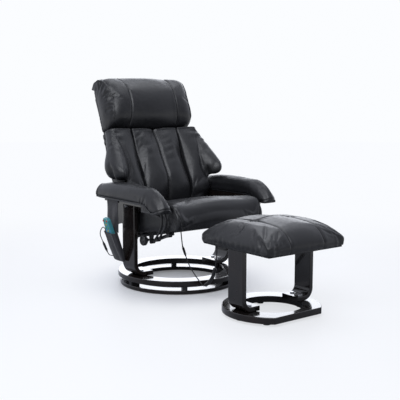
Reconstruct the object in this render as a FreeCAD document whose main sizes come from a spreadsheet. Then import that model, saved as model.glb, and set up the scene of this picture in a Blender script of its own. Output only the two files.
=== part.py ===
"""Swivel massage chair with a matching footstool.

Millimetres. +Z is up, the chair faces -Y, and the origin is on the floor under the middle of the swivel.
The sitter's right is -X. Sizes are in the table below and reach the model through the sheet named size.
"""
import FreeCAD
import Part
import Sketcher
import math
import os

from FreeCAD import Placement, Rotation, Vector

SIZES = [
    ("Floor ring, outer radius", "floor_ring_radius", 290),
    ("Floor ring, wall", "floor_ring_wall", 60),
    ("Floor ring, thickness", "floor_ring_thickness", 18),
    ("Felt strip, thickness", "felt_thickness", 3),
    ("Felt strip, half width", "felt_half_width", 12),
    ("Gap between the two rings", "ring_gap", 22),
    ("Swivel ring, outer radius", "swivel_ring_radius", 300),
    ("Swivel ring, wall", "swivel_ring_wall", 74),
    ("Swivel ring, thickness", "swivel_ring_thickness", 24),
    ("Ring edges, rounding", "ring_rounding", 3),
    ("Track, middle radius", "track_radius", 262.5),
    ("Track, sheet thickness", "track_sheet", 2.2),
    ("Track flange, width", "track_flange", 25),
    ("Track foot, width", "track_foot", 12),
    ("Track, height", "track_height", 10.7),
    ("Track, running clearance", "track_play", 0.5),
    ("Guide block, length across the ring", "block_length", 45),
    ("Guide block, width along the ring", "block_width", 25),
    ("Guide block, top below the swivel ring", "block_top_gap", 2.5),
    ("Ball, radius", "ball_radius", 4.5),
    ("Leg, outer face from the middle", "leg_reach", 293),
    ("Leg board, thickness", "leg_thickness", 21),
    ("Leg board, width", "leg_width", 105),
    ("Leg, height above the swivel ring", "leg_height", 351),
    ("Leg foot, length", "leg_foot", 106),
    ("Leg, inner bend radius", "leg_bend", 40),
    ("Leg, edge rounding", "leg_rounding", 4),
    ("Bolt shank, radius", "bolt_radius", 4),
    ("Bolt head, radius", "bolt_head_radius", 9),
    ("Bolt head, height", "bolt_head_height", 5),
    ("Bolt hole, clearance", "bolt_play", 0.25),
    ("Foot bolts, apart", "foot_bolt_spacing", 52),
    ("Foot bolts, from the outer face", "foot_bolt_inset", 57),
    ("Side plate, thickness", "plate_thickness", 6),
    ("Side plate, depth of the rail", "plate_rail", 22),
    ("Side plate, front end", "plate_front", 190),
    ("Side plate, rear end", "plate_rear", 150),
    ("Side plate, tab half width", "plate_tab", 45),
    ("Side plate, tab bottom height", "plate_tab_height", 246),
    ("Hinge, behind the middle", "hinge_back", 175),
    ("Hinge, height", "hinge_height", 300),
    ("Hinge pin, radius", "pin_radius", 6),
    ("Hinge pin, clearance", "pin_play", 0.2),
    ("Hinge boss, radius", "hinge_boss", 19),
    ("Hinge washer, thickness", "washer_thickness", 3),
    ("Arm board, thickness", "arm_board_thickness", 13),
    ("Arm board, width", "arm_board_width", 69),
    ("Arm pad, width", "arm_pad_width", 86),
    ("Arm pad, height over the board at the front", "arm_pad_height", 91),
    ("Arm pad, rear end", "arm_pad_rear", 210),
    ("Arm pad, front end", "arm_pad_front", 345),
    ("Arm pad, droop of the nose below the board", "arm_nose_drop", 30),
    ("Soft parts, clearance", "soft_play", 0.3),
    ("Stay rod, radius", "stay_radius", 5),
    ("Seat, half width", "seat_half_width", 258),
    ("Seat, front end", "seat_front", 352),
    ("Seat, rear end", "seat_rear", 61),
    ("Seat, height of the front edge", "seat_height", 437),
    ("Seat, fall of the top to the rear", "seat_fall", 42),
    ("Seat, crown", "seat_crown", 12),
    ("Seat bottom, height at the middle", "seat_bottom", 269),
    ("Seat bottom, slope", "seat_slope", 8.2),
    ("Seat board, thickness", "seat_board_thickness", 12),
    ("Seat frame, height", "frame_height", 30),
    ("Seat frame, above the seat bottom", "frame_lift", 28),
    ("Seat frame, rail width", "frame_rail_width", 16),
    ("Seat skirt, thickness", "seat_skirt", 20),
    ("Cross tube, radius", "cross_tube_radius", 11),
    ("Vibration motor, radius", "motor_radius", 32),
    ("Vibration motor, thickness", "motor_thickness", 26),
    ("Back, tilt at rest", "back_tilt", 21),
    ("Back, height of the rear cover", "cover_height", 672),
    ("Back, half width of the rear cover", "cover_half_width", 234),
    ("Rear cover, thickness", "cover_thickness", 30),
    ("Rear cover, wall", "cover_wall", 5),
    ("Back board, thickness", "back_board_thickness", 8),
    ("Back channels, half width", "channel_half_width", 138),
    ("Back channels, crown", "channel_crown", 13),
    ("Wings, half width between the arms", "wing_half_width", 256),
    ("Wings, half width over the arms", "lobe_half_width", 318),
    ("Wings, lowest height over the arms", "lobe_height", 514),
    ("Wings, height under the pillow", "wing_top", 765),
    ("Pillow, half width", "pillow_half_width", 250),
    ("Pillow, bottom up the back", "pillow_bottom", 445),
    ("Pillow, height", "pillow_height", 277),
    ("Pillow, thickness over the board", "pillow_thickness", 144),
    ("Back frame tube, radius", "frame_tube_radius", 10),
    ("Knob, radius", "knob_radius", 24),
    ("Knob, rim width", "knob_width", 20),
    ("Knob, height", "knob_height", 251),
    ("Knob, in front of the middle", "knob_front", 108),
    ("Knob, outer face from the middle", "knob_reach", 285),
    ("Strut, middle plane from the middle", "strut_reach", 246),
    ("Strut, radius", "strut_radius", 8),
    ("Pouch, width", "pouch_width", 100),
    ("Pouch, thickness", "pouch_thickness", 27),
    ("Pouch, thickness at the foot", "pouch_foot_thickness", 14),
    ("Pouch, height", "pouch_height", 153),
    ("Pouch, cloth thickness", "pouch_wall", 2),
    ("Pouch, lean", "pouch_lean", 19),
    ("Strap, width", "strap_width", 102),
    ("Strap, thickness", "strap_thickness", 3),
    ("Handset, width", "handset_width", 54),
    ("Handset, width at the top", "handset_top_width", 45),
    ("Handset, length", "handset_length", 138),
    ("Handset, thickness", "handset_thickness", 20),
    ("Handset, shown above the pouch", "handset_shown", 72),
    ("Button, radius", "button_radius", 5),
    ("Button, height", "button_height", 2.6),
    ("Button, stands out", "button_proud", 1.4),
    ("Lead to the remote, radius", "remote_lead_radius", 2.1),
    ("Lead to the footstool, radius", "link_lead_radius", 2.6),
    ("Lead connector, radius", "connector_radius", 6),
    ("Link sleeve, radius", "sleeve_radius", 8.5),
    ("Footstool, in front of the middle", "stool_front", 709),
    ("Footstool, to the sitter's right", "stool_right", 28),
    ("Footstool ring, outer radius", "stool_ring_radius", 210),
    ("Footstool ring, inner radius", "stool_ring_inner", 133),
    ("Footstool ring, thickness", "stool_ring_thickness", 28),
    ("Footstool ring, top height", "stool_ring_top", 39),
    ("Footstool pad, radius", "stool_pad_radius", 15),
    ("Footstool ring, straight edge from its middle", "stool_ring_chord", 165),
    ("Footstool leg, outer face from the middle", "stool_leg_reach", 200),
    ("Footstool leg, width", "stool_leg_width", 95),
    ("Footstool leg, height above the ring", "stool_leg_height", 254),
    ("Footstool leg foot, length", "stool_leg_foot", 92),
    ("Footstool board, half width", "stool_board_half", 203),
    ("Footstool board, thickness", "stool_board_thickness", 12),
    ("Footstool cushion, half width", "stool_half_width", 220),
    ("Footstool cushion, height", "stool_cushion_height", 92),
    ("Footstool cushion, crown", "stool_crown", 10),
    ("Tufts, from the middle", "tuft_spacing", 92),
    ("Bracket, thickness", "bracket_thickness", 3),
    ("Bracket, flange", "bracket_flange", 32),
]

os.makedirs("parts", exist_ok=True)
doc = FreeCAD.newDocument("massage_chair")
sheet = doc.addObject("Spreadsheet::Sheet", "size")
for row, (note, alias, number) in enumerate(SIZES, start=1):
    sheet.set(f"A{row}", note)
    sheet.set(f"B{row}", str(number))
    sheet.setAlias(f"B{row}", alias)
doc.recompute()


class Length(float):
    """A number that remembers, as text, the cells of the sheet that it was worked out from."""

    def __new__(cls, number, text):
        length = super().__new__(cls, number)
        length.text = text
        return length

    def __add__(self, other):
        return Length(float(self) + float(other), f"({self.text} + {written(other)})")

    def __radd__(self, other):
        return Length(float(other) + float(self), f"({written(other)} + {self.text})")

    def __sub__(self, other):
        return Length(float(self) - float(other), f"({self.text} - {written(other)})")

    def __rsub__(self, other):
        return Length(float(other) - float(self), f"({written(other)} - {self.text})")

    def __mul__(self, other):
        return Length(float(self) * float(other), f"({self.text} * {written(other)})")

    __rmul__ = __mul__

    def __truediv__(self, other):
        return Length(float(self) / float(other), f"({self.text} / {written(other)})")

    def __neg__(self):
        return Length(-float(self), f"(0 - {self.text})")


def written(number):
    """The text of a length, or of a plain number."""
    return number.text if isinstance(number, Length) else repr(float(number))


class Cells:
    """Reads a cell of the sheet by its alias."""

    def __getattr__(self, alias):
        return Length(float(getattr(sheet, alias)), f"size.{alias}")


cell = Cells()
NODES = []


def bind(item, path, length):
    """Tie one property to the sheet, or set it where the value is a plain number."""
    if isinstance(length, Length):
        item.setExpression(path, length.text)
    else:
        item.setExpression(path, repr(float(length)))


def node(item, name, at=(0, 0, 0), axis=(0, 0, 1), angle=0):
    """Name a finished sub-part and put it in its place."""
    item.Label = name
    item.Placement = Placement(Vector(*at), Rotation(Vector(*axis), angle))
    for path, length in zip("xyz", at):
        bind(item, f"Placement.Base.{path}", length)
    NODES.append(item)
    return item


def box(name, lengths, corner):
    """Block with its lowest corner at the given place."""
    item = doc.addObject("Part::Box", name)
    for path, length in zip(("Length", "Width", "Height"), lengths):
        setattr(item, path, float(length))
        bind(item, path, length)
    for path, length in zip("xyz", corner):
        bind(item, f"Placement.Base.{path}", length)
    return item


def rod(name, radius, length, start, axis="z"):
    """Straight round bar from a start point along an axis."""
    turns = {"z": (Vector(0, 0, 1), 0), "x": (Vector(0, 1, 0), 90), "y": (Vector(1, 0, 0), -90),
             "-x": (Vector(0, 1, 0), -90)}
    item = doc.addObject("Part::Cylinder", name)
    item.Placement = Placement(Vector(0, 0, 0), Rotation(*turns[axis]))
    bind(item, "Radius", radius)
    bind(item, "Height", length)
    for path, length_at in zip("xyz", start):
        bind(item, f"Placement.Base.{path}", length_at)
    return item


def ball(name, radius, centre):
    """Sphere about a centre."""
    item = doc.addObject("Part::Sphere", name)
    bind(item, "Radius", radius)
    for path, length in zip("xyz", centre):
        bind(item, f"Placement.Base.{path}", length)
    return item


def group(name, items):
    """Separate solids kept together as one object."""
    item = doc.addObject("Part::Compound", name)
    item.Links = items
    return item


def fuse(name, items):
    """Solids welded into one."""
    item = doc.addObject("Part::MultiFuse", name)
    item.Shapes = items
    item.Refine = True
    return item


def cut(name, base, tool):
    """A base with a tool taken out of it."""
    item = doc.addObject("Part::Cut", name)
    item.Base = base
    item.Tool = tool
    return item


def common(name, base, tool):
    """What a base and a tool have in common."""
    item = doc.addObject("Part::Common", name)
    item.Base = base
    item.Tool = tool
    return item


def free_form(name, shape):
    """A solid whose surface has no feature of its own, worked out from the sheet's sizes."""
    item = doc.addObject("Part::Feature", name)
    item.Shape = shape
    return item


def sketch_on(body, name, role, lift=0):
    """Empty sketch on one of a body's own planes, lifted along the plane's normal."""
    sketch = body.newObject("Sketcher::SketchObject", name)
    plane = next(item for item in body.Origin.OriginFeatures if item.Role == role)
    sketch.AttachmentSupport = [(plane, "")]
    sketch.MapMode = "FlatFace"
    bind(sketch, "AttachmentOffset.Base.z", lift)
    return sketch


def hold(sketch, kind, element, vertex, length):
    """Hold one point of a sketch at a distance from the origin along one axis."""
    index = sketch.addConstraint(Sketcher.Constraint(kind, -1, 1, element, vertex, float(length)))
    bind(sketch, f"Constraints[{index}]", length)


def polygon(sketch, points):
    """Closed outline of straight lines, every corner held from the origin."""
    count = len(points)
    for index, (x, y) in enumerate(points):
        next_x, next_y = points[(index + 1) % count]
        sketch.addGeometry(Part.LineSegment(Vector(x, y, 0), Vector(next_x, next_y, 0)))
    for index in range(count):
        sketch.addConstraint(Sketcher.Constraint("Coincident", index, 2, (index + 1) % count, 1))
    for index, (x, y) in enumerate(points):
        hold(sketch, "DistanceX", index, 1, x)
        hold(sketch, "DistanceY", index, 1, y)


def circle(sketch, x, y, radius):
    """Circle with a held centre and radius."""
    index = sketch.addGeometry(Part.Circle(Vector(x, y, 0), Vector(0, 0, 1), float(radius)))
    limit = sketch.addConstraint(Sketcher.Constraint("Radius", index, float(radius)))
    bind(sketch, f"Constraints[{limit}]", radius)
    hold(sketch, "DistanceX", index, 3, x)
    hold(sketch, "DistanceY", index, 3, y)


def pad(body, sketch, name, length, symmetric=False):
    """Solid raised from a sketch."""
    item = body.newObject("PartDesign::Pad", name)
    item.Profile = sketch
    bind(item, "Length", length)
    item.SideType = "Symmetric" if symmetric else "One side"
    return item


def pocket(body, sketch, name, length=None, reverse=False, symmetric=False):
    """Hollow sunk from a sketch, or right through where no depth is given."""
    item = body.newObject("PartDesign::Pocket", name)
    item.Profile = sketch
    item.Reversed = reverse
    item.SideType = "Symmetric" if symmetric else "One side"
    if length is None:
        item.Type = "ThroughAll"
    else:
        bind(item, "Length", length)
    return item


def round_edges(body, base, name, radius, wanted):
    """Fillet on the edges of a feature that pass a test."""
    doc.recompute()
    edges = [f"Edge{number}" for number, edge in enumerate(base.Shape.Edges, start=1) if wanted(edge)]
    item = body.newObject("PartDesign::Fillet", name)
    item.Base = (base, edges)
    bind(item, "Radius", radius)
    return item


def runs_along(edge, axis):
    """Whether a straight edge lies along an axis, 0 for X, 1 for Y and 2 for Z."""
    if len(edge.Vertexes) < 2 or not isinstance(edge.Curve, Part.Line):
        return False
    step = edge.Vertexes[1].Point - edge.Vertexes[0].Point
    return abs(abs(step[axis]) - step.Length) < 1e-6


def outline(start, *steps):
    """Closed wire: a step that is a point is a line, and a step of two points is an arc through the first."""
    edges = []
    here = start
    for step in steps:
        if isinstance(step, tuple):
            edges.append(Part.Arc(here, step[0], step[1]).toShape())
            here = step[1]
        else:
            edges.append(Part.LineSegment(here, step).toShape())
            here = step
    if (start - here).Length > 1e-6:
        edges.append(Part.LineSegment(here, start).toShape())
    return Part.Wire(edges)


def skin(wires):
    """Smooth solid through a row of closed wires."""
    return Part.makeLoft(wires, True, False)


def path_of(points):
    """Path of straight runs joined by tangent arcs, each as large as its two runs allow."""
    points = [Vector(*point) for point in points]
    edges = []
    radii = []
    here = points[0]
    for before, corner, after in zip(points, points[1:], points[2:]):
        back = (before - corner)
        ahead = (after - corner)
        shorter = min(back.Length, ahead.Length)
        half_turn = (math.pi - back.getAngle(ahead)) / 2
        reach = 0.45 * shorter
        radii.append(reach / math.tan(half_turn))
        back.normalize()
        ahead.normalize()
        start = corner + back * reach
        end = corner + ahead * reach
        inward = (back + ahead)
        inward.normalize()
        centre_gap = radii[-1] / math.cos(half_turn)
        middle = corner + inward * (centre_gap - radii[-1])
        edges.append(Part.LineSegment(here, start).toShape())
        edges.append(Part.Arc(start, middle, end).toShape())
        here = end
    edges.append(Part.LineSegment(here, points[-1]).toShape())
    return Part.Wire(edges), radii


def tube(points, radius):
    """Round solid along a path of runs and arcs."""
    path, radii = path_of(points)
    first = Vector(*points[0])
    along = Vector(*points[1]) - first
    ring = Part.Wire([Part.Circle(first, along, float(radius)).toShape()])
    solid = path.makePipeShell([ring], True, False)
    expected = math.pi * float(radius) ** 2 * path.Length
    if abs(solid.Volume / expected - 1) > 0.01:
        raise RuntimeError("a tube lost part of its volume")
    return solid, path.Length, min(radii) if radii else 0


# Heights that several pieces share
floor_ring_top = cell.felt_thickness + cell.floor_ring_thickness
swivel_bottom = floor_ring_top + cell.ring_gap
swivel_top = swivel_bottom + cell.swivel_ring_thickness
leg_top = swivel_top + cell.leg_height
track_bottom = swivel_bottom - cell.track_height
arm_board_top = leg_top + cell.arm_board_thickness
plate_inner = cell.leg_reach - cell.leg_thickness - cell.plate_thickness
SIDES = (("right", -1), ("left", 1))


def ring(name, outer, inner, bottom, thickness):
    """Flat ring with rounded outer edges."""
    body = doc.addObject("PartDesign::Body", name)
    sketch = sketch_on(body, f"{name}_outline", "XY_Plane", bottom)
    circle(sketch, 0, 0, outer)
    circle(sketch, 0, 0, inner)
    base = pad(body, sketch, f"{name}_board", thickness)
    round_edges(body, base, f"{name}_rounding", cell.ring_rounding,
                lambda edge: abs(edge.Curve.Radius - float(outer)) < 1e-3 if hasattr(edge.Curve, "Radius")
                else False)
    return body


def swivel_base():
    """Two lacquered rings, the guide blocks between them and the captured steel track."""
    inner = cell.floor_ring_radius - cell.floor_ring_wall
    node(ring("floor_ring", cell.floor_ring_radius, inner, cell.felt_thickness, cell.floor_ring_thickness),
         "floor_ring")
    body = ring("swivel_ring", cell.swivel_ring_radius, cell.swivel_ring_radius - cell.swivel_ring_wall,
                swivel_bottom, cell.swivel_ring_thickness)
    sketch = sketch_on(body, "foot_bolt_centres", "XY_Plane", swivel_bottom)
    across = cell.leg_reach - cell.foot_bolt_inset
    for x in (across, -across):
        for y in (cell.foot_bolt_spacing / 2, -cell.foot_bolt_spacing / 2):
            circle(sketch, x, y, cell.bolt_radius + cell.bolt_play)
    pocket(body, sketch, "foot_bolt_holes", cell.swivel_ring_thickness + 1, reverse=True)
    node(body, "swivel_ring")


def track_profile(sketch, middle, parts):
    """Turned profile of stacked bands: each is a half width and the heights of its two faces."""
    right = []
    left = []
    for half, low, high in parts:
        right += [(middle + half, low), (middle + half, high)]
        left += [(middle - half, low), (middle - half, high)]
    polygon(sketch, right + left[::-1])


def revolve(body, sketch, name):
    """Full turn of a sketch about the upright axis."""
    item = body.newObject("PartDesign::Revolution", name)
    item.Profile = sketch
    item.ReferenceAxis = (sketch, ["V_Axis"])
    item.Angle = 360
    return item


def swivel_track():
    """Steel track hung from the swivel ring, with the guide blocks that hold its foot and its balls."""
    sheet_thickness = cell.track_sheet
    web = sheet_thickness / 2
    foot_top = track_bottom + sheet_thickness
    body = doc.addObject("PartDesign::Body", "track_ring")
    sketch = sketch_on(body, "track_section", "XZ_Plane")
    track_profile(sketch, cell.track_radius, [
        (cell.track_foot / 2, track_bottom, foot_top),
        (web, foot_top, swivel_bottom - sheet_thickness),
        (cell.track_flange / 2, swivel_bottom - sheet_thickness, swivel_bottom)])
    revolve(body, sketch, "track_turned")
    node(body, "track_ring")

    play = cell.track_play
    block_top = swivel_bottom - cell.block_top_gap - play
    cavity_bottom = track_bottom - play
    lip_bottom = foot_top + play
    half = cell.block_length / 2
    neck = web + play
    cavity = cell.track_foot / 2 + play
    middle = cell.track_radius
    body = doc.addObject("PartDesign::Body", "guide_section")
    sketch = sketch_on(body, "guide_outline", "XZ_Plane")
    polygon(sketch, [
        (middle - half, floor_ring_top), (middle + half, floor_ring_top), (middle + half, block_top),
        (middle + neck, block_top), (middle + neck, lip_bottom), (middle + cavity, lip_bottom),
        (middle + cavity, cavity_bottom), (middle - cavity, cavity_bottom), (middle - cavity, lip_bottom),
        (middle - neck, lip_bottom), (middle - neck, block_top), (middle - half, block_top)])
    revolve(body, sketch, "guide_turned")
    windows = []
    seats = []
    balls = []
    ball_height = track_bottom - 0.3 - cell.ball_radius
    for step in range(6):
        angle = 60 * step
        along = Vector(math.cos(math.radians(angle)), math.sin(math.radians(angle)), 0)
        window = box(f"window_{step}", (cell.floor_ring_radius + 20, cell.block_width, 60), (0, 0, 0))
        window.Placement = Placement(along.cross(Vector(0, 0, 1)) * (float(cell.block_width) / 2),
                                     Rotation(Vector(0, 0, 1), angle))
        for path, value in zip("xy", along.cross(Vector(0, 0, 1))):
            bind(window, f"Placement.Base.{path}", cell.block_width * (value / 2))
        windows.append(window)
        seats.append(rod(f"ball_seat_{step}", cell.ball_radius + 0.3, 12,
                         (middle * along.x, middle * along.y, floor_ring_top + 2)))
        balls.append(ball(f"ball_{step}", cell.ball_radius,
                          (middle * along.x, middle * along.y, ball_height)))
    blocks = common("guide_blanks", body, group("guide_windows", windows))
    node(cut("guide_blocks", blocks, group("ball_seats", seats)), "guide_blocks")
    node(group("track_balls", balls), "track_balls")


def bent_leg(name, side, reach, thickness, width, bottom, top, foot, bend, centre):
    """Bent-wood board: upright outside, turned inward along its ring at the foot."""
    body = doc.addObject("PartDesign::Body", name)
    sketch = sketch_on(body, f"{name}_outline", "XZ_Plane", -centre[1])
    polygon(sketch, [
        (centre[0] + reach * side, top), (centre[0] + (reach - thickness) * side, top),
        (centre[0] + (reach - thickness) * side, bottom + thickness),
        (centre[0] + (reach - foot) * side, bottom + thickness),
        (centre[0] + (reach - foot) * side, bottom), (centre[0] + reach * side, bottom)])
    base = pad(body, sketch, f"{name}_board", width, symmetric=True)
    outside = float(centre[0] + reach * side)
    inside = float(centre[0] + (reach - thickness) * side)

    def at_bend(x, z):
        return lambda edge: (runs_along(edge, 1) and abs(edge.Vertexes[0].Point.x - x) < 1e-3
                             and abs(edge.Vertexes[0].Point.z - z) < 1e-3)

    inner = round_edges(body, base, f"{name}_inner_bend", bend, at_bend(inside, float(bottom + thickness)))
    outer = round_edges(body, inner, f"{name}_outer_bend", bend + thickness, at_bend(outside, float(bottom)))
    round_edges(body, outer, f"{name}_edges", cell.leg_rounding,
                lambda edge: runs_along(edge, 2) and edge.Length > float(top - bottom) / 2)
    return body


def spot_faces(body, name, level, places):
    """Flat round seats for bolt heads, cut up into the bend of a leg."""
    sketch = sketch_on(body, f"spot_face_{name}", "XY_Plane", level)
    for x, y in places:
        circle(sketch, x, y, cell.bolt_head_radius + 0.5)
    pocket(body, sketch, f"spot_faced_{name}", cell.bolt_head_height * 3, reverse=True)


def chair_legs():
    """Two legs bolted to the swivel ring, with the holes for the bolts through their feet."""
    across = cell.leg_reach - cell.foot_bolt_inset
    bolts = []
    for name, side in SIDES:
        body = bent_leg(f"leg_{name}", side, cell.leg_reach, cell.leg_thickness, cell.leg_width, swivel_top,
                        leg_top, cell.leg_foot, cell.leg_bend, (0, 0))
        holes = sketch_on(body, f"foot_holes_{name}", "XY_Plane", swivel_top)
        for y in (cell.foot_bolt_spacing / 2, -cell.foot_bolt_spacing / 2):
            circle(holes, across * side, y, cell.bolt_radius + cell.bolt_play)
            bolts.append(fuse(f"foot_bolt_{name}_{len(bolts)}", [
                rod(f"foot_shank_{name}_{len(bolts)}", cell.bolt_radius,
                    cell.leg_thickness + cell.swivel_ring_thickness - 3, (across * side, y, swivel_bottom + 3)),
                rod(f"foot_head_{name}_{len(bolts)}", cell.bolt_head_radius, cell.bolt_head_height,
                    (across * side, y, swivel_top + cell.leg_thickness))]))
        pocket(body, holes, f"foot_drilled_{name}", cell.leg_thickness + 1, reverse=True)
        spot_faces(body, name, swivel_top + cell.leg_thickness, [
            (across * side, y) for y in (cell.foot_bolt_spacing / 2, -cell.foot_bolt_spacing / 2)])
        side_hole = sketch_on(body, f"side_hole_{name}", "YZ_Plane", (plate_inner - 10) * side)
        circle(side_hole, 16, leg_top - 18, cell.bolt_radius + cell.bolt_play)
        pocket(body, side_hole, f"side_drilled_{name}", cell.leg_reach, reverse=side > 0)
        start = cell.leg_reach * side
        axis = "-x" if side > 0 else "x"
        bolts.append(fuse(f"side_bolt_{name}", [
            rod(f"side_shank_{name}", cell.bolt_radius, cell.leg_thickness + cell.plate_thickness,
                (start, 16, leg_top - 18), axis),
            rod(f"side_cap_{name}", cell.bolt_head_radius, cell.bolt_head_height - 1,
                (start + (cell.bolt_head_height - 1) * side, 16, leg_top - 18), axis)]))
        node(body, f"leg_{name}")
    node(group("leg_bolts", bolts), "leg_bolts")


def side_plates():
    """Steel plate inside each leg: a rail under the arm board, a tab down the leg and an arm to the hinge."""
    rail_bottom = leg_top - cell.plate_rail
    boss = cell.hinge_boss
    for name, side in SIDES:
        body = doc.addObject("PartDesign::Body", f"side_plate_{name}")
        lift = plate_inner if side > 0 else -plate_inner - cell.plate_thickness
        sketch = sketch_on(body, f"plate_outline_{name}", "YZ_Plane", lift)
        polygon(sketch, [
            (-cell.plate_front, leg_top), (-cell.plate_front, rail_bottom), (-cell.plate_tab - 12, rail_bottom - 5),
            (-cell.plate_tab, rail_bottom - 30), (-cell.plate_tab, cell.plate_tab_height),
            (cell.plate_tab, cell.plate_tab_height), (cell.plate_tab + 8, cell.hinge_height + 18),
            (cell.hinge_back - boss * 0.8, cell.hinge_height - boss * 0.7),
            (cell.hinge_back + boss * 0.3, cell.hinge_height - boss),
            (cell.hinge_back + boss, cell.hinge_height - boss * 0.3),
            (cell.hinge_back + boss, cell.hinge_height + boss * 0.5),
            (cell.plate_rear, leg_top)])
        base = pad(body, sketch, f"plate_sheet_{name}", cell.plate_thickness)
        round_edges(body, base, f"plate_corners_{name}", 7,
                    lambda edge: runs_along(edge, 0) and edge.Vertexes[0].Point.z < float(rail_bottom) + 1)
        holes = sketch_on(body, f"plate_holes_{name}", "YZ_Plane", lift)
        circle(holes, cell.hinge_back, cell.hinge_height, cell.pin_radius + cell.pin_play)
        circle(holes, 16, leg_top - 18, cell.bolt_radius + cell.bolt_play)
        pocket(body, holes, f"plate_drilled_{name}", cell.plate_thickness + 1, reverse=True)
        node(body, f"side_plate_{name}")


def hinge_pins():
    """Headed pin and washer on each side, which carry the back between the side plates."""
    items = []
    washer_inner = plate_inner - cell.washer_thickness
    for name, side in SIDES:
        axis = "-x" if side > 0 else "x"
        outer = plate_inner + cell.plate_thickness
        items.append(fuse(f"pin_{name}", [
            rod(f"pin_shank_{name}", cell.pin_radius, cell.plate_thickness + cell.washer_thickness + 12,
                (outer * side, cell.hinge_back, cell.hinge_height), axis),
            rod(f"pin_head_{name}", cell.pin_radius + 4, 5,
                ((outer + 5) * side, cell.hinge_back, cell.hinge_height), axis)]))
        start = ((washer_inner + cell.washer_thickness) * side, cell.hinge_back, cell.hinge_height)
        items.append(cut(f"washer_{name}",
                         rod(f"washer_disc_{name}", cell.hinge_boss - 4, cell.washer_thickness - 0.4, start, axis),
                         rod(f"washer_hole_{name}", cell.pin_radius + cell.pin_play, 20,
                             ((plate_inner + 6) * side, cell.hinge_back, cell.hinge_height), axis)))
    node(group("hinge_pins", items), "hinge_pins")


def arm_boards():
    """Plywood board on each side plate, under the arm pad."""
    for name, side in SIDES:
        body = doc.addObject("PartDesign::Body", f"arm_board_{name}")
        sketch = sketch_on(body, f"arm_board_outline_{name}", "XY_Plane", leg_top)
        inner = plate_inner * side
        outer = (plate_inner + cell.arm_board_width) * side
        polygon(sketch, [(inner, -cell.plate_front), (outer, -cell.plate_front), (outer, cell.plate_rear),
                         (inner, cell.plate_rear)])
        base = pad(body, sketch, f"arm_board_sheet_{name}", cell.arm_board_thickness)
        round_edges(body, base, f"arm_board_corners_{name}", 12,
                    lambda edge: runs_along(edge, 2) and abs(abs(edge.Vertexes[0].Point.x)
                                                             - abs(float(outer))) < 1e-3)
        node(body, f"arm_board_{name}")


def arm_pads():
    """Padded arm: flat over its board, rounded on top, with a nose that droops in front of the board."""
    bottom = float(arm_board_top + cell.soft_play)
    top = float(arm_board_top + cell.arm_pad_height)
    rear = float(cell.arm_pad_rear)
    front = -float(cell.arm_pad_front)
    board_front = -float(cell.plate_front)
    nose = bottom - float(cell.arm_nose_drop)
    inner = float(plate_inner)
    width = float(cell.arm_pad_width)

    def section(x, inset):
        """Side outline at one place across the pad, drawn in by an inset towards its two faces."""
        return outline(
            Vector(x, rear - 12, bottom),
            (Vector(x, rear - inset / 2, bottom + 28), Vector(x, rear - 20 - inset / 2, top - 25 - inset)),
            (Vector(x, rear - 218, top - inset), Vector(x, board_front - 28, top - 6 - inset)),
            (Vector(x, front + 42 + inset / 3, top - 40 - inset * 0.8),
             Vector(x, front + 3 + inset / 2, bottom + 4)),
            (Vector(x, front + inset / 2, bottom - 16), Vector(x, front + 17 + inset / 2, nose)),
            Vector(x, board_front - 9, nose - 2),
            Vector(x, board_front - 3, bottom))

    for name, side in SIDES:
        stations = ((0, 24), (0.1, 9), (0.35, 1), (0.62, 0), (0.86, 9), (1, 30))
        wires = [section((inner + share * width) * side, inset) for share, inset in stations]
        node(free_form(f"arm_pad_{name}", skin(wires)), f"arm_pad_{name}")


def strut_shape(side):
    """Sloping strut with its three knuckles, on one side under the seat."""
    front = Vector(0, -272, 296)
    rear = Vector(0, -float(cell.knob_front) - 28, 248)
    along = front - rear
    radius = float(cell.strut_radius)
    shift = Vector(float(cell.strut_reach) * side, 0, 0)
    bar = Part.makeCylinder(radius, along.Length, rear + shift, along)
    knuckles = [Part.makeCylinder(radius + 3, 20, point + shift - Vector(10, 0, 0), Vector(1, 0, 0))
                for point in (rear, rear + along * 0.33, front)]
    return bar.fuse(knuckles).removeSplitter()


def arm_stays():
    """Pair of bent rods from the nose of each arm down to the strut under the seat."""
    radius = cell.stay_radius
    x = -float(cell.seat_half_width + 4 + radius + 5)
    top = float(arm_board_top + cell.soft_play - cell.arm_nose_drop) - 2.3
    inside = -float(cell.strut_reach + cell.strut_radius * 0.6)
    outer_rod, outer_length, outer_bend = tube(
        [(x, -276, top - 1), (x, -286, 366), (x, -277, 332), (x, -252, 304),
         ((x + inside) / 2, -222, 280), (inside, -196, 269.2)], radius)
    inner_rod, inner_length, inner_bend = tube(
        [(x, -246, top - 1), (x, -254, 362), (x, -247, 328), (x, -226, 300),
         ((x + inside) / 2, -192, 275), (inside, -160, 256.5)], radius)
    flange = Part.makeBox(18, 62, 3, Vector(x - 9, -292, top - 3))
    right = flange.fuse([outer_rod, inner_rod]).cut(strut_shape(-1)).removeSplitter()
    left = right.mirror(Vector(0, 0, 0), Vector(1, 0, 0))
    node(free_form("arm_stay_right", right), "arm_stay_right")
    node(free_form("arm_stay_left", left), "arm_stay_left")


# The seat's inner parts stand in a frame of their own: its floor is the seat's sloping underside
slope = math.radians(cell.seat_slope)
SEAT_PLACE = {"at": (0, 0, cell.seat_bottom), "axis": (1, 0, 0), "angle": -cell.seat_slope}
pocket_half = cell.seat_half_width - cell.seat_skirt
board_low = cell.frame_lift + cell.frame_height
board_high = board_low + cell.seat_board_thickness
pocket_front = cell.seat_front - 72
pocket_rear = cell.seat_rear - 18


def seat_floor(y):
    """Height of the seat's underside at a depth."""
    return float(cell.seat_bottom) - y * math.tan(slope)


def rail_floor(y):
    """Height of the underside of the seat frame's rails at a depth."""
    return seat_floor(y) + float(cell.frame_lift) / math.cos(slope)


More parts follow.
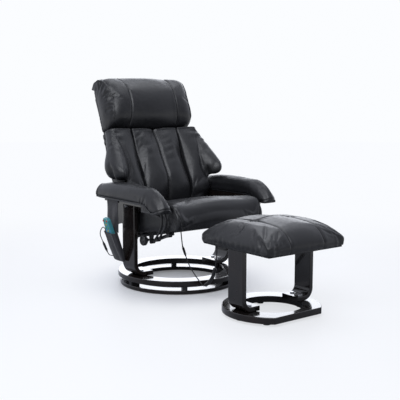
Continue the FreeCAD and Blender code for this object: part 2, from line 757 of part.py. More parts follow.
def seat_cushion():
    """Thick seat: crowned top that falls to the rear, bulging front, sides drawn in, hollow underneath."""
    half = float(cell.seat_half_width)
    front = -float(cell.seat_front)
    rear = float(cell.seat_rear)
    top = float(cell.seat_height)
    low_top = top - float(cell.seat_fall)

    def section(share, inset):
        """Side outline at a share of the half width, drawn in by an inset."""
        crown = float(cell.seat_crown) * (1 - share * share)
        x = half * share
        return outline(
            Vector(x, front + 18 + inset, seat_floor(front + 18) + inset / 3),
            (Vector(x, front + inset, seat_floor(front) + 54), Vector(x, front + 30 + inset, top - 8 - inset)),
            (Vector(x, front + 42 + inset, top - 1.5 + crown / 3 - inset),
             Vector(x, front + 62 + inset, top + crown / 2 - inset)),
            (Vector(x, (front + rear) / 2, (top + low_top) / 2 + 5 + crown - inset),
             Vector(x, rear - 14 - inset, low_top + 1 - inset)),
            (Vector(x, rear - 4 - inset, low_top - 5 - inset), Vector(x, rear - inset, low_top - 22 - inset)),
            Vector(x, rear - inset, seat_floor(rear) + inset / 3))

    stations = ((-1, 10), (-0.97, 3), (-0.8, 0), (-0.35, 0), (0.35, 0), (0.8, 0), (0.97, 3), (1, 10))
    cushion = skin([section(share, inset) for share, inset in stations])
    blank = free_form("seat_blank", cushion)
    hollow = box("seat_hollow", (pocket_half * 2, pocket_front + pocket_rear, board_high + 30),
                 (-pocket_half, -pocket_front, -30))
    motors = [rod(f"seat_motor_room_{x > 0}", cell.motor_radius + 1, cell.motor_thickness + 1,
                  (x, -cell.seat_front / 2 + 40, board_high - 0.5)) for x in (-90, 90)]
    room = fuse("seat_room", [hollow] + motors)
    room.Placement = Placement(Vector(0, 0, cell.seat_bottom), Rotation(Vector(1, 0, 0), -cell.seat_slope))
    bind(room, "Placement.Base.z", cell.seat_bottom)
    node(cut("seat_foam", blank, room), "seat_cushion")


def seat_inside():
    """Plywood board, the welded frame under it and the vibration motors on it."""
    half = pocket_half - 1
    body = doc.addObject("PartDesign::Body", "seat_board")
    sketch = sketch_on(body, "seat_board_outline", "XY_Plane", board_low)
    polygon(sketch, [(-half, -pocket_front + 1), (half, -pocket_front + 1), (half, pocket_rear - 1),
                     (-half, pocket_rear - 1)])
    base = pad(body, sketch, "seat_board_sheet", cell.seat_board_thickness)
    round_edges(body, base, "seat_board_corners", 15, lambda edge: runs_along(edge, 2))
    node(body, "seat_board", **SEAT_PLACE)
    motors = [rod(f"seat_motor_{x > 0}", cell.motor_radius, cell.motor_thickness,
                  (x, -cell.seat_front / 2 + 40, board_high)) for x in (-90, 90)]
    node(group("seat_motors", motors), "seat_motors", **SEAT_PLACE)

    rail_outer = pocket_half - 3
    rail_inner = rail_outer - cell.frame_rail_width
    length = pocket_front + pocket_rear - 24
    members = []
    for name, side in SIDES:
        x = rail_inner if side > 0 else -rail_outer
        members.append(box(f"seat_rail_{name}", (cell.frame_rail_width, length, cell.frame_height),
                           (x, -pocket_front + 12, cell.frame_lift)))
        members.append(box(f"seat_post_{name}", (cell.frame_rail_width, 24, cell.frame_lift + 8),
                           (x, -12, -8)))
        members.append(box(f"strut_lug_{name}", (cell.frame_rail_width + 1, 30, cell.frame_lift + 18),
                           (x if side > 0 else x - 1, -pocket_front + 6, -16)))
    for name, y in (("front", -pocket_front + 12), ("rear", pocket_rear - 28)):
        members.append(box(f"seat_bar_{name}", (rail_inner * 2, 16, cell.frame_height),
                           (-rail_inner, y, cell.frame_lift)))
    members.append(rod("seat_cross_tube", cell.cross_tube_radius, plate_inner * 2,
                       (-plate_inner, 0, -cell.cross_tube_radius - 1.5), "x"))
    node(fuse("seat_frame", members), "seat_frame", **SEAT_PLACE)


def back_depth(height, reach):
    """Depth of a point that lies a reach in front of the back's rear plane, at a height in the room."""
    tilt = math.radians(cell.back_tilt)
    rise = height - float(cell.hinge_height)
    return float(cell.hinge_back) + (rise * math.sin(tilt) - reach) / math.cos(tilt)


BACK_PLACE = {"at": (0, cell.hinge_back, cell.hinge_height), "axis": (-1, 0, 0), "angle": cell.back_tilt}
cushion_rear = cell.cover_thickness + cell.back_board_thickness + cell.soft_play


def back_shell():
    """Rear cover with rounded edges, hollow towards the board that closes it."""
    half = cell.cover_half_width
    low = 40
    high = cell.cover_height
    body = doc.addObject("PartDesign::Body", "back_cover")
    sketch = sketch_on(body, "cover_outline", "XZ_Plane", cell.cover_thickness)
    polygon(sketch, [(-half + 10, low), (half - 10, low), (half - 14, high / 2), (half, high - 30),
                     (half - 34, high), (-half + 34, high), (-half, high - 30), (-half + 14, high / 2)])
    base = pad(body, sketch, "cover_blank", cell.cover_thickness)
    base.Reversed = True
    corners = round_edges(body, base, "cover_corners", 18,
                          lambda edge: runs_along(edge, 1) and edge.Vertexes[0].Point.z > float(high) / 2 + 5)
    round_edges(body, corners, "cover_rounding", 10,
                lambda edge: all(abs(vertex.Point.y) < 1e-3 for vertex in edge.Vertexes))
    inside = sketch_on(body, "cover_inside", "XZ_Plane", cell.cover_thickness)
    wall = cell.cover_wall
    inner = half - 14 - wall * 2.4
    tube_reach = half - 52
    slot = cell.frame_tube_radius + 2
    floor = low + wall * 2
    polygon(inside, [
        (-inner, floor), (-tube_reach - slot, floor), (-tube_reach - slot, low - 5), (-tube_reach + slot, low - 5),
        (-tube_reach + slot, floor), (tube_reach - slot, floor), (tube_reach - slot, low - 5),
        (tube_reach + slot, low - 5), (tube_reach + slot, floor), (inner, floor), (inner, high - 50),
        (inner - 24, high - 26), (-inner + 24, high - 26), (-inner, high - 50)])
    pocket(body, inside, "cover_hollow", cell.cover_thickness - wall)
    node(body, "back_cover", **BACK_PLACE)

    board = doc.addObject("PartDesign::Body", "back_board")
    sketch = sketch_on(board, "back_board_outline", "XZ_Plane", cell.cover_thickness)
    polygon(sketch, [(-half + 16, low), (half - 16, low), (half - 20, high / 2), (half - 8, high - 34),
                     (half - 38, high - 6), (-half + 38, high - 6), (-half + 8, high - 34), (-half + 20, high / 2)])
    pad(board, sketch, "back_board_sheet", cell.back_board_thickness)
    node(board, "back_board", **BACK_PLACE)


def back_frame():
    """Bent steel tube inside the cover, its lower cross tube and the two plates that turn on the hinge pins."""
    radius = cell.frame_tube_radius
    depth = -float(cell.cover_thickness) / 2 - 1
    width = float(cell.cover_half_width) - 52
    top = float(cell.cover_height) - 80
    hoop, length, bend = tube([(-width, depth, 22), (-width, depth, top / 2), (-width + 0.5, depth, top),
                               (width - 0.5, depth, top), (width, depth, top / 2), (width, depth, 22)], radius)
    plate_out = plate_inner - cell.washer_thickness
    members = [free_form("frame_hoop", hoop),
               rod("frame_cross_tube", radius + 1, plate_out * 2 - 10, (-plate_out + 5, depth, 22), "x")]
    for name, side in SIDES:
        body = doc.addObject("PartDesign::Body", f"hinge_plate_{name}")
        sketch = sketch_on(body, f"hinge_plate_outline_{name}", "YZ_Plane",
                           plate_out - 5 if side > 0 else -plate_out)
        polygon(sketch, [(-34, -10), (-10, -19), (10, -19), (19, -10), (19, 12), (0, 40), (-34, 40)])
        base = pad(body, sketch, f"hinge_plate_sheet_{name}", 5)
        round_edges(body, base, f"hinge_plate_corners_{name}", 6, lambda edge: runs_along(edge, 0))
        hole = sketch_on(body, f"hinge_hole_{name}", "YZ_Plane", plate_out if side > 0 else -plate_out + 5)
        circle(hole, 0, 0, cell.pin_radius + cell.pin_play)
        pocket(body, hole, f"hinge_drilled_{name}", 12, symmetric=True)
        members.append(body)
    node(fuse("back_frame", members), "back_frame", **BACK_PLACE)


def channels():
    """Middle of the back: two crowned channels either side of a sewn valley, thickest at the small of the back."""
    half = float(cell.channel_half_width) - 0.2
    rear = -float(cushion_rear)
    rows = ((-2, 88, 88, 0.2), (45, 130, 127, 0.5), (95, 149, 147, 1), (150, 158, 154, 1), (225, 152, 146, 1),
            (330, 135, 139, 1), (float(cell.pillow_bottom) - 6, 116, 130, 0.9))
    wires = []
    for height, middle, side, fullness in rows:
        crown = float(cell.channel_crown) * fullness
        wires.append(outline(
            Vector(-half, rear, height), Vector(-half, -side, height),
            (Vector(-half * 0.52, -(middle + side) / 2 - crown, height), Vector(0, -middle, height)),
            (Vector(half * 0.52, -(middle + side) / 2 - crown, height), Vector(half, -side, height)),
            Vector(half, rear, height)))
    blank = free_form("channel_blank", skin(wires))
    places = [(x, height) for x in (-66, 66) for height in (140, 330)]
    rooms = [rod(f"back_motor_room_{index}", cell.motor_radius + 1, cell.motor_thickness + 1,
                 (x, -cushion_rear - cell.motor_thickness - 0.6, height), "y")
             for index, (x, height) in enumerate(places)]
    node(cut("channel_foam", blank, group("back_motor_rooms", rooms)), "back_cushion", **BACK_PLACE)
    motors = [rod(f"back_motor_{index}", cell.motor_radius, cell.motor_thickness,
                  (x, -cushion_rear - cell.motor_thickness + cell.soft_play, height), "y")
              for index, (x, height) in enumerate(places)]
    node(group("back_motors", motors), "back_motors", **BACK_PLACE)


def under_pillow(depth):
    """Block that a depth reaches up or down from the plane of the head pillow's underside."""
    level = float(cell.pillow_bottom) - 6
    wide = float(cell.lobe_half_width) * 3
    block = Part.makeBox(wide, wide, abs(depth), Vector(-wide / 2, -wide / 2, min(level, level + depth)))
    block.Placement = Placement(Vector(*BACK_PLACE["at"]), Rotation(Vector(*BACK_PLACE["axis"]), cell.back_tilt))
    return block


def wings():
    """Side bolsters: a column between the arms and a lobe that swells out over them."""
    inner = float(cell.channel_half_width) + 0.2
    rear_reach = float(cushion_rear)
    between = float(cell.wing_half_width)
    top = float(cell.wing_top)
    low = float(cell.lobe_height)
    spread = float(cell.lobe_half_width)
    columns = ((296, 78, 4), (360, 111, 6), (398, 126, 7), (430, 143, 14), (low - 20, 155, 22), (low + 46, 146, 26),
               (top - 125, 141, 24), (top - 55, 137, 18), (top, 131, 10))
    lobes = ((low, -22, 192, 100), (low + 16, -7, 224, 84), (low + 41, 0, 236, 86), (600, -4, 224, 92),
             (650, -18, 197, 98), (705, -35, 168, 86), (top, -56, 146, 66))
    for name, side in SIDES:
        wires = []
        for height, valley, swell in columns:
            wires.append(outline(
                Vector(inner * side, back_depth(height, rear_reach), height),
                Vector(inner * side, back_depth(height, valley), height),
                (Vector((inner + 44) * side, back_depth(height, valley + swell * 0.8), height),
                 Vector((between - 16) * side, back_depth(height, valley + swell), height)),
                (Vector((between - 4) * side, back_depth(height, valley + swell - 8), height),
                 Vector(between * side, back_depth(height, valley + swell - 24), height)),
                Vector(between * side, back_depth(height, rear_reach), height)))
        column = skin(wires)
        wires = []
        for height, narrower, front, rear in lobes:
            outer = spread + narrower
            deep = 195
            hidden = 132 if height < 640 else 126
            wires.append(outline(
                Vector(deep * side, back_depth(height, rear - 8), height),
                Vector(deep * side, back_depth(height, hidden), height),
                (Vector((deep + (outer - 26 - deep) * 0.45) * side,
                        back_depth(height, hidden + (front - hidden) * 0.62), height),
                 Vector((outer - 26) * side, back_depth(height, front), height)),
                (Vector((outer - 6) * side, back_depth(height, front - 16), height),
                 Vector(outer * side, back_depth(height, (front + rear) / 2), height)),
                (Vector((outer - 6) * side, back_depth(height, rear + 14), height),
                 Vector((outer - 28) * side, back_depth(height, rear), height))))
        lobe = skin(wires)
        node(free_form(f"wing_{name}", column.fuse(lobe).cut(under_pillow(200))), f"wing_{name}")


def pillow():
    """Head pillow: full in front, rolled over the top of the cover, with two sewn seams and drawn-in sides."""
    half = float(cell.pillow_half_width)
    low = float(cell.pillow_bottom)
    high = low + float(cell.pillow_height)
    rear = float(cushion_rear)
    full = rear + float(cell.pillow_thickness)
    cover = float(cell.cover_height) + float(cell.soft_play)
    wires = []
    stations = ((-1.03, 0.3), (-0.98, 0.72), (-0.85, 0.92), (-0.58, 0.95), (-0.3, 1), (0.3, 1), (0.58, 0.95),
                (0.85, 0.92), (0.98, 0.72), (1.03, 0.3))
    for share, fullness in stations:
        x = half * share
        thick = rear + 30 + (full - rear - 30) * fullness
        shrink = 26 * (1 - fullness)
        wires.append(outline(
            Vector(x, -rear, low - 6 + shrink), Vector(x, -rear - 36, low + shrink * 0.8),
            (Vector(x, -thick + 26, low + 4 + shrink), Vector(x, -thick + 5, low + 34 + shrink)),
            (Vector(x, -thick - 4 * fullness, low + 130), Vector(x, -thick + 12, high - 56 - shrink)),
            (Vector(x, -thick + 34, high - 22 - shrink), Vector(x, -thick + 78 * fullness, high - 3 - shrink)),
            (Vector(x, -thick * 0.36 - 12, high - shrink), Vector(x, -18, high - 20 - shrink)),
            (Vector(x, -9, cover + 15 - shrink * 0.4), Vector(x, -16, cover + 3)),
            Vector(x, -rear, cover)))
    below = Part.makeBox(half * 3, half * 3, 60, Vector(-half * 1.5, -half * 1.5, low - 66 + float(cell.soft_play)))
    node(free_form("head_pillow", skin(wires).cut(below)), "head_pillow", **BACK_PLACE)


def turned(item, at, axis, angle):
    """Give a piece of a sub-part its own turn and place."""
    item.Placement = Placement(Vector(*at), Rotation(Vector(*axis), angle))
    for path, length in zip("xyz", at):
        bind(item, f"Placement.Base.{path}", length)
    return item


def lock_parts():
    """Hand knob on its stem, the clamp that it squeezes and the struts that carry the stay rods."""
    struts = [free_form(f"strut_{name}", strut_shape(side)) for name, side in SIDES]
    node(group("stay_struts", struts), "stay_struts")

    across = cell.strut_reach
    stem = cell.strut_radius + 3
    height = cell.knob_height
    plate = doc.addObject("PartDesign::Body", "clamp_plate")
    lift = -across + 10
    sketch = sketch_on(plate, "clamp_outline", "YZ_Plane", lift)
    front = -cell.knob_front - 30
    rear = -cell.knob_front + 26
    polygon(sketch, [(front, rail_floor(float(front))), (rear, rail_floor(float(rear))),
                     (-cell.knob_front + 11, height - 10), (-cell.knob_front - 9, height - 14)])
    pad(plate, sketch, "clamp_sheet", 6)
    hole = sketch_on(plate, "clamp_hole", "YZ_Plane", lift + 3)
    circle(hole, -cell.knob_front, height, 5.3)
    pocket(plate, hole, "clamp_drilled", 10, symmetric=True)
    node(plate, "lock_clamp")

    body = doc.addObject("PartDesign::Body", "lock_knob")
    sketch = sketch_on(body, "knob_section", "XY_Plane")
    reach = cell.knob_reach
    rim = cell.knob_radius
    width = cell.knob_width
    polygon(sketch, [
        (0, -across + 12), (5, -across + 12), (5, -across - 9), (stem - 1, -across - 9),
        (stem - 1, -reach + width), (rim - 4, -reach + width), (rim, -reach + width - 4),
        (rim, -reach + 3), (rim - 3, -reach), (rim - 7, -reach), (rim - 8, -reach + 4), (9, -reach + 4),
        (7, -reach + 1), (0, -reach + 1)])
    revolve_x = body.newObject("PartDesign::Revolution", "knob_turned")
    revolve_x.Profile = sketch
    revolve_x.ReferenceAxis = (sketch, ["V_Axis"])
    revolve_x.Angle = 360
    grip = sketch_on(body, "knob_grip", "XZ_Plane", reach - width / 2)
    circle(grip, rim + 4.2, 0, 6)
    flutes = pocket(body, grip, "knob_flute", width + 8, symmetric=True)
    ring_of = body.newObject("PartDesign::PolarPattern", "knob_flutes")
    ring_of.Originals = [flutes]
    ring_of.Axis = (sketch, ["V_Axis"])
    ring_of.Angle = 360
    ring_of.Occurrences = 12
    body.Tip = ring_of
    node(body, "lock_knob", (0, -cell.knob_front, height), (0, 0, 1), -90)


def control_box():
    """Control box under the seat board, with a socket for the footstool lead, one for the remote and a mains inlet."""
    corner = (-170, -156, board_low - 40)
    shell = box("control_case", (130, 82, 40), corner)
    link_gland = rod("link_gland", 6, 8, (-75, -124, board_low - 48))
    remote_gland = rod("remote_gland", 5, 8, (-140, -74, board_low - 20), "y")
    inlet = box("mains_inlet", (20, 12, 14), (-70, -75, board_low - 27))
    socket_hole = box("mains_socket", (15, 12, 9), (-67.5, -74, board_low - 24.5))
    case = fuse("control_fused", [shell, link_gland, remote_gland, inlet])
    node(cut("control_box_cut", case, socket_hole), "control_box", **SEAT_PLACE)


POUCH_FOOT = (-302, 63, 132)
POUCH_PLACE = {"at": POUCH_FOOT, "axis": (0, 1, 0), "angle": -cell.pouch_lean}


def in_room(point):
    """Place in the room of a point given in the pouch's own leaning frame."""
    return Rotation(Vector(0, 1, 0), -float(cell.pouch_lean)).multVec(Vector(*point)) + Vector(*POUCH_FOOT)


def rounded_block(rows, corner):
    """Upright solid through rows of a half thickness, a half width and a height, with round corners."""
    wires = []
    for deep, wide, height in rows:
        curve = min(corner, deep * 0.8)
        soft = curve * (1 - math.sqrt(0.5))

        def at(x, y, level=height):
            return Vector(x, y, level)

        wires.append(outline(
            at(-deep, -wide + curve), at(-deep, wide - curve),
            (at(-deep + soft, wide - soft), at(-deep + curve, wide)), at(deep - curve, wide),
            (at(deep - soft, wide - soft), at(deep, wide - curve)), at(deep, -wide + curve),
            (at(deep - soft, -wide + soft), at(deep - curve, -wide)), at(-deep + curve, -wide),
            (at(-deep + soft, -wide + soft), at(-deep, -wide + curve))))
    return Part.makeLoft(wires, True, True)


def pouch():
    """Open pocket of thick cloth that leans in to the leg, sewn to the strap that hangs from the arm."""
    wide = float(cell.pouch_width) / 2
    deep = float(cell.pouch_thickness) / 2
    foot = float(cell.pouch_foot_thickness) / 2
    tall = float(cell.pouch_height)
    wall = float(cell.pouch_wall)
    knee = tall * 0.42
    outer = rounded_block(((foot, wide - 3, 0), (deep - 1, wide, knee), (deep, wide, tall)), 9)
    inner = rounded_block(((foot - wall, wide - 3 - wall, wall), (deep - 1 - wall, wide - wall, knee),
                           (deep - wall, wide - wall, tall + 5)), 9 - wall)
    shell = turned(free_form("pouch_shell", outer.cut(inner)), POUCH_FOOT, (0, 1, 0), -float(cell.pouch_lean))
    mouth = in_room((deep - wall, 0, tall - 4))
    strap = box("pouch_strap", (cell.strap_thickness, cell.strap_width, arm_board_top - mouth.z + 1),
                (mouth.x, POUCH_FOOT[1] - wide, mouth.z - 1))
    node(fuse("pouch_sewn", [shell, strap]), "remote_pouch")


def handset():
    """Remote in the pouch: tapered case with its buttons, which stand in round holes."""
    half = cell.handset_width / 2
    top_half = cell.handset_top_width / 2
    thick = cell.handset_thickness
    low = cell.pouch_height + cell.handset_shown - cell.handset_length
    high = low + cell.handset_length
    body = doc.addObject("PartDesign::Body", "handset")
    sketch = sketch_on(body, "handset_outline", "YZ_Plane", -thick / 2)
    polygon(sketch, [(-half + 7, low), (half - 7, low), (half, low + 12), (top_half, high - 12),
                     (top_half - 10, high), (-top_half + 10, high), (-top_half, high - 12), (-half, low + 12)])
    base = pad(body, sketch, "handset_case", thick)
    rounded = round_edges(body, base, "handset_rounding", 4,
                          lambda edge: not runs_along(edge, 0))
    doc.recompute()
    face = -thick / 2
    places = [(12, 14), (12, -14), (31, 0), (48, 12), (48, -12), (64, 0)]
    holes = sketch_on(body, "button_holes", "YZ_Plane", face)
    for down, across in places:
        circle(holes, across, high - down, cell.button_radius + 0.4)
    pocket(body, holes, "buttons_sunk", cell.button_height + 0.8, reverse=True)
    node(body, "handset", **POUCH_PLACE)
    for number, (down, across) in enumerate(places, start=1):
        key = rod(f"key_{number}", cell.button_radius, cell.button_height,
                  (face - cell.button_proud, across, high - down), "x")
        node(group(f"button_holder_{number}", [key]), f"button_{number}", **POUCH_PLACE)


def footstool():
    """Footstool: its ring with one straight edge, two bent legs, brackets, board, motor and tufted cushion."""
    centre = (-cell.stool_right, -cell.stool_front)
    ring_top = cell.stool_ring_top
    bottom = ring_top - cell.stool_ring_thickness
    radius = cell.stool_ring_radius
    body = doc.addObject("PartDesign::Body", "stool_ring")
    sketch = sketch_on(body, "stool_ring_outline", "XY_Plane", bottom)
    circle(sketch, centre[0], centre[1], radius)
    circle(sketch, centre[0], centre[1], cell.stool_ring_inner)
    pad(body, sketch, "stool_ring_board", cell.stool_ring_thickness)
    edge = sketch_on(body, "stool_ring_edge", "XY_Plane", bottom)
    line = centre[1] - cell.stool_ring_chord
    polygon(edge, [(centre[0] - radius, line), (centre[0] + radius, line), (centre[0] + radius, line - radius),
                   (centre[0] - radius, line - radius)])
    straight = pocket(body, edge, "stool_ring_straight", cell.stool_ring_thickness + 1, reverse=True)
    round_edges(body, straight, "stool_ring_rounding", cell.ring_rounding,
                lambda item: (item.Vertexes[0].Point - Vector(centre[0], centre[1], 0)).Length
                > float(cell.stool_ring_inner) + 40 and not runs_along(item, 2))
    node(body, "stool_ring")

    leg_top_height = ring_top + cell.stool_leg_height
    across = cell.stool_leg_reach - 54
    bolts = []
    angles = []
    for name, side in SIDES:
        body = bent_leg(f"stool_leg_{name}", side, cell.stool_leg_reach, cell.leg_thickness, cell.stool_leg_width,
                        ring_top, leg_top_height, cell.stool_leg_foot, cell.leg_bend - 10, centre)
        holes = sketch_on(body, f"stool_holes_{name}", "XY_Plane", ring_top)
        for y in (26, -26):
            circle(holes, centre[0] + across * side, centre[1] + y, cell.bolt_radius + cell.bolt_play)
            bolts.append(fuse(f"stool_bolt_{name}_{y}", [
                rod(f"stool_shank_{name}_{y}", cell.bolt_radius, cell.leg_thickness,
                    (centre[0] + across * side, centre[1] + y, ring_top)),
                rod(f"stool_head_{name}_{y}", cell.bolt_head_radius, cell.bolt_head_height,
                    (centre[0] + across * side, centre[1] + y, ring_top + cell.leg_thickness))]))
        pocket(body, holes, f"stool_drilled_{name}", cell.leg_thickness + 1, reverse=True)
        spot_faces(body, f"stool_{name}", ring_top + cell.leg_thickness, [
            (centre[0] + across * side, centre[1] + y) for y in (26, -26)])
        node(body, f"stool_leg_{name}")
        inner = centre[0] + (cell.stool_leg_reach - cell.leg_thickness) * side
        wide = cell.stool_leg_width - 25
        flange = cell.bracket_flange
        sheet_thickness = cell.bracket_thickness
        low_x = inner - sheet_thickness if side > 0 else inner
        flat_x = inner - flange if side > 0 else inner
        angles.append(fuse(f"bracket_{name}", [
            box(f"bracket_upright_{name}", (sheet_thickness, wide, flange),
                (low_x, centre[1] - wide / 2, leg_top_height - flange)),
            box(f"bracket_flat_{name}", (flange, wide, sheet_thickness),
                (flat_x, centre[1] - wide / 2, leg_top_height - sheet_thickness))]))
    node(group("stool_bolts", bolts), "stool_bolts")
    node(group("stool_brackets", angles), "stool_brackets")

    half = cell.stool_board_half
    thick = cell.stool_board_thickness
    node(box("stool_board", (half * 2, half * 2, thick), (centre[0] - half, centre[1] - half, leg_top_height)),
         "stool_board", (centre[0] - half, centre[1] - half, leg_top_height))
    stool_cushion(centre, leg_top_height)
    motor_base = leg_top_height + thick
    node(rod("stool_motor", cell.motor_radius, cell.motor_thickness, (centre[0], centre[1], motor_base)),
         "stool_motor", (centre[0], centre[1], motor_base))


def stool_cushion(centre, bottom):
    """Square cushion: crowned top with two sewn valleys and two tufts, sides drawn in at half height."""
    half = float(cell.stool_half_width)
    height = float(cell.stool_cushion_height)
    low = float(bottom)
    seam = float(cell.tuft_spacing) / half

    def section(share, inset, dip):
        """Outline across the depth at a share of the half width."""
        x = float(centre[0]) + half * share
        y = float(centre[1])
        crown = float(cell.stool_crown) * (1 - share * share)
        top = low + height - dip - inset
        reach = half - inset
        return outline(
            Vector(x, y - reach + 8, low + inset * 0.6),
            (Vector(x, y - reach, low + height * 0.45), Vector(x, y - reach + 14, top - 13)),
            (Vector(x, y - reach + 22, top - 5), Vector(x, y - reach + 36, top - 2)),
            (Vector(x, y, top + crown), Vector(x, y + reach - 36, top - 2)),
            (Vector(x, y + reach - 22, top - 5), Vector(x, y + reach - 14, top - 13)),
            (Vector(x, y + reach, low + height * 0.45), Vector(x, y + reach - 8, low + inset * 0.6)))

    stations = ((-1, 13, 0), (-0.965, 4, 0), (-0.8, 0, 0), (-seam, 0, 5), (-0.2, 0, 0), (0.2, 0, 0), (seam, 0, 5),
                (0.8, 0, 0), (0.965, 4, 0), (1, 13, 0))
    blank = free_form("stool_foam", skin([section(*station) for station in stations]))
    room_half = cell.stool_board_half + cell.soft_play
    room = box("stool_board_room", (room_half * 2, room_half * 2, cell.stool_board_thickness + cell.soft_play + 10),
               (centre[0] - room_half, centre[1] - room_half, bottom - 10))
    motor_room = rod("stool_motor_room", cell.motor_radius + 1, cell.motor_thickness + 1,
                     (centre[0], centre[1], bottom + cell.stool_board_thickness - 0.5))
    tufts = [ball(f"tuft_{x > 0}", 30, (centre[0] + x, centre[1] + 10, bottom + cell.stool_cushion_height + 26))
             for x in (-cell.tuft_spacing, cell.tuft_spacing)]
    room_and_tufts = group("stool_cut_tools", [fuse("stool_room", [room, motor_room])] + tufts)
    node(cut("stool_cushion_cut", blank, room_and_tufts), "stool_cushion")


def glides():
    """Felt strip right round under the floor ring and round pads under the footstool ring."""
    strip = doc.addObject("PartDesign::Body", "floor_strip")
    sketch = sketch_on(strip, "floor_strip_outline", "XY_Plane")
    middle = cell.floor_ring_radius - cell.floor_ring_wall / 2
    circle(sketch, 0, 0, middle + cell.felt_half_width)
    circle(sketch, 0, 0, middle - cell.felt_half_width)
    pad(strip, sketch, "floor_strip_felt", cell.felt_thickness)
    items = [strip]
    stool_middle = float(cell.stool_ring_radius + cell.stool_ring_inner) / 2
    for degrees in (0, 65, 115, 180, 222, 318):
        angle = math.radians(degrees)
        items.append(rod(f"stool_pad_{degrees}", cell.stool_pad_radius,
                         cell.stool_ring_top - cell.stool_ring_thickness,
                         (-cell.stool_right + (stool_middle - 1.5) * math.cos(angle),
                          -cell.stool_front + (stool_middle - 6) * math.sin(angle), 0)))
    node(group("glides", items), "glides")


def plug_body(name, start, end, radius):
    """Moulded connector between two points, with a narrower collar at each end."""
    first = Vector(*start)
    along = Vector(*end) - first
    collar = along.Length * 0.16
    step = Vector(along)
    step.normalize()
    parts = [Part.makeCylinder(radius * 0.7, along.Length, first, along),
             Part.makeCylinder(radius, along.Length - 2 * collar, first + step * collar, along)]
    node(free_form(name, parts[0].fuse(parts[1]).removeSplitter()), name)


def lead(name, points, radius):
    """One free stretch of a lead, with its length and tightest bend printed."""
    solid, length, bend = tube(points, radius)
    print(f"{name}: {length:.0f} mm long, tightest bend {bend:.0f} mm")
    node(free_form(name, solid), name)


def remote_lead():
    """Lead from the foot of the handset, round inside the pouch, out over its edge and on to the control box."""
    start = float(cell.pouch_height + cell.handset_shown - cell.handset_length)
    tucked = [(0, 0, start), (0, 0, start - 24), (0, 10, start - 43), (0, 30, start - 43),
              (0, 40, start - 24), (0, 41, start + 8), (0, 41.5, start + 38), (0, 43, start + 68)]
    inside = [tuple(in_room(point)) for point in tucked]
    outside = [(-356, 119, 293), (-354, 139, 286), (-351, 158, 270), (-348, 170, 250), (-342.6, 167.6, 231.2)]
    plug_start = (-337, 163, 214)
    plug_end = (-320, 149, 162)
    lead("remote_lead_upper", inside + outside + [plug_start], cell.remote_lead_radius)
    plug_body("remote_connector", plug_start, plug_end, float(cell.connector_radius))
    lead("remote_lead_lower", [
        plug_end, (-315.4, 145.2, 148), (-304, 132, 143), (-293, 118, 149), (-281, 103, 162), (-268, 90, 180),
        (-250, 78, 200), (-230, 66, 222), (-212, 52, 244), (-196, 36, 262), (-180, 20, 275), (-163, -2, 284),
        (-149, -24, 297), (-141.5, -42, 311), (-140, -59.9, 315.5)], cell.remote_lead_radius)


def link_lead():
    """Lead that hangs from the control box to the footstool, with its connector and a thick sleeve."""
    plug_start = (-85, -150, 209)
    plug_end = (-91, -185, 166)
    sleeve_start = (-104, -352, 60)
    sleeve_end = (-125, -448, 160)
    radius = cell.link_lead_radius
    socket = (-175, -524, 293)
    lead("link_lead_upper", [(-75, -121.4, 296.5), (-75.5, -125, 272), (-78.5, -134, 240), plug_start], radius)
    plug_body("link_connector", plug_start, plug_end, float(cell.connector_radius))
    lead("link_lead_middle", [
        plug_end, (-94.6, -206, 140.2), (-99, -236, 116), (-100, -270, 91), (-98, -304, 66), (-98, -330, 51),
        sleeve_start], radius)
    solid, length, bend = tube([sleeve_start, (-107, -386, 82), (-113, -422, 118), sleeve_end],
                               cell.sleeve_radius)
    print(f"link_sleeve: {length:.0f} mm long, tightest bend {bend:.0f} mm")
    node(free_form("link_sleeve", solid), "link_sleeve")
    lead("link_lead_lower", [
        sleeve_end, (-136, -468, 188), (-149, -489, 216), (-162, -507, 245), (-172, -520, 266), (-175, -524, 283)],
        radius)
    node(rod("stool_socket", 7, 10, (socket[0], socket[1], socket[2] - 10)), "stool_socket",
         (socket[0], socket[1], socket[2] - 10))


def build_chair():
    """Every sub-part, in the order in which it would be put together."""
    swivel_base()
    swivel_track()
    chair_legs()
    side_plates()
    hinge_pins()
    arm_boards()
    arm_pads()
    arm_stays()
    lock_parts()
    seat_inside()
    seat_cushion()
    control_box()
    back_frame()
    back_shell()
    channels()
    wings()
    pillow()
    pouch()
    handset()
    footstool()
    glides()
    remote_lead()
    link_lead()


build_chair()

doc.recompute()
for item in doc.Objects:
    if "Invalid" in item.State or "Error" in item.State:
        raise RuntimeError(f"{item.Label} did not build")
for item in NODES:
    if item.Shape.isNull() or not item.Shape.isValid():
        raise RuntimeError(f"{item.Label} has no sound shape")
for item in NODES:
    item.Shape.exportStep(f"parts/{item.Label}.step")
    bounds = item.Shape.BoundBox
    print(f"{item.Label:20s} solids {len(item.Shape.Solids):2d}  volume {item.Shape.Volume / 1000:9.1f} cm3  "
          f"x {bounds.XMin:7.1f} {bounds.XMax:7.1f}  y {bounds.YMin:7.1f} {bounds.YMax:7.1f}  "
          f"z {bounds.ZMin:7.1f} {bounds.ZMax:7.1f}")
print(len(NODES), "sub-parts")
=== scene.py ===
"""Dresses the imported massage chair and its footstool.

Adds upholstery, piping, pouch, leads, finishes, floor, light and camera.
"""

import functools
import math

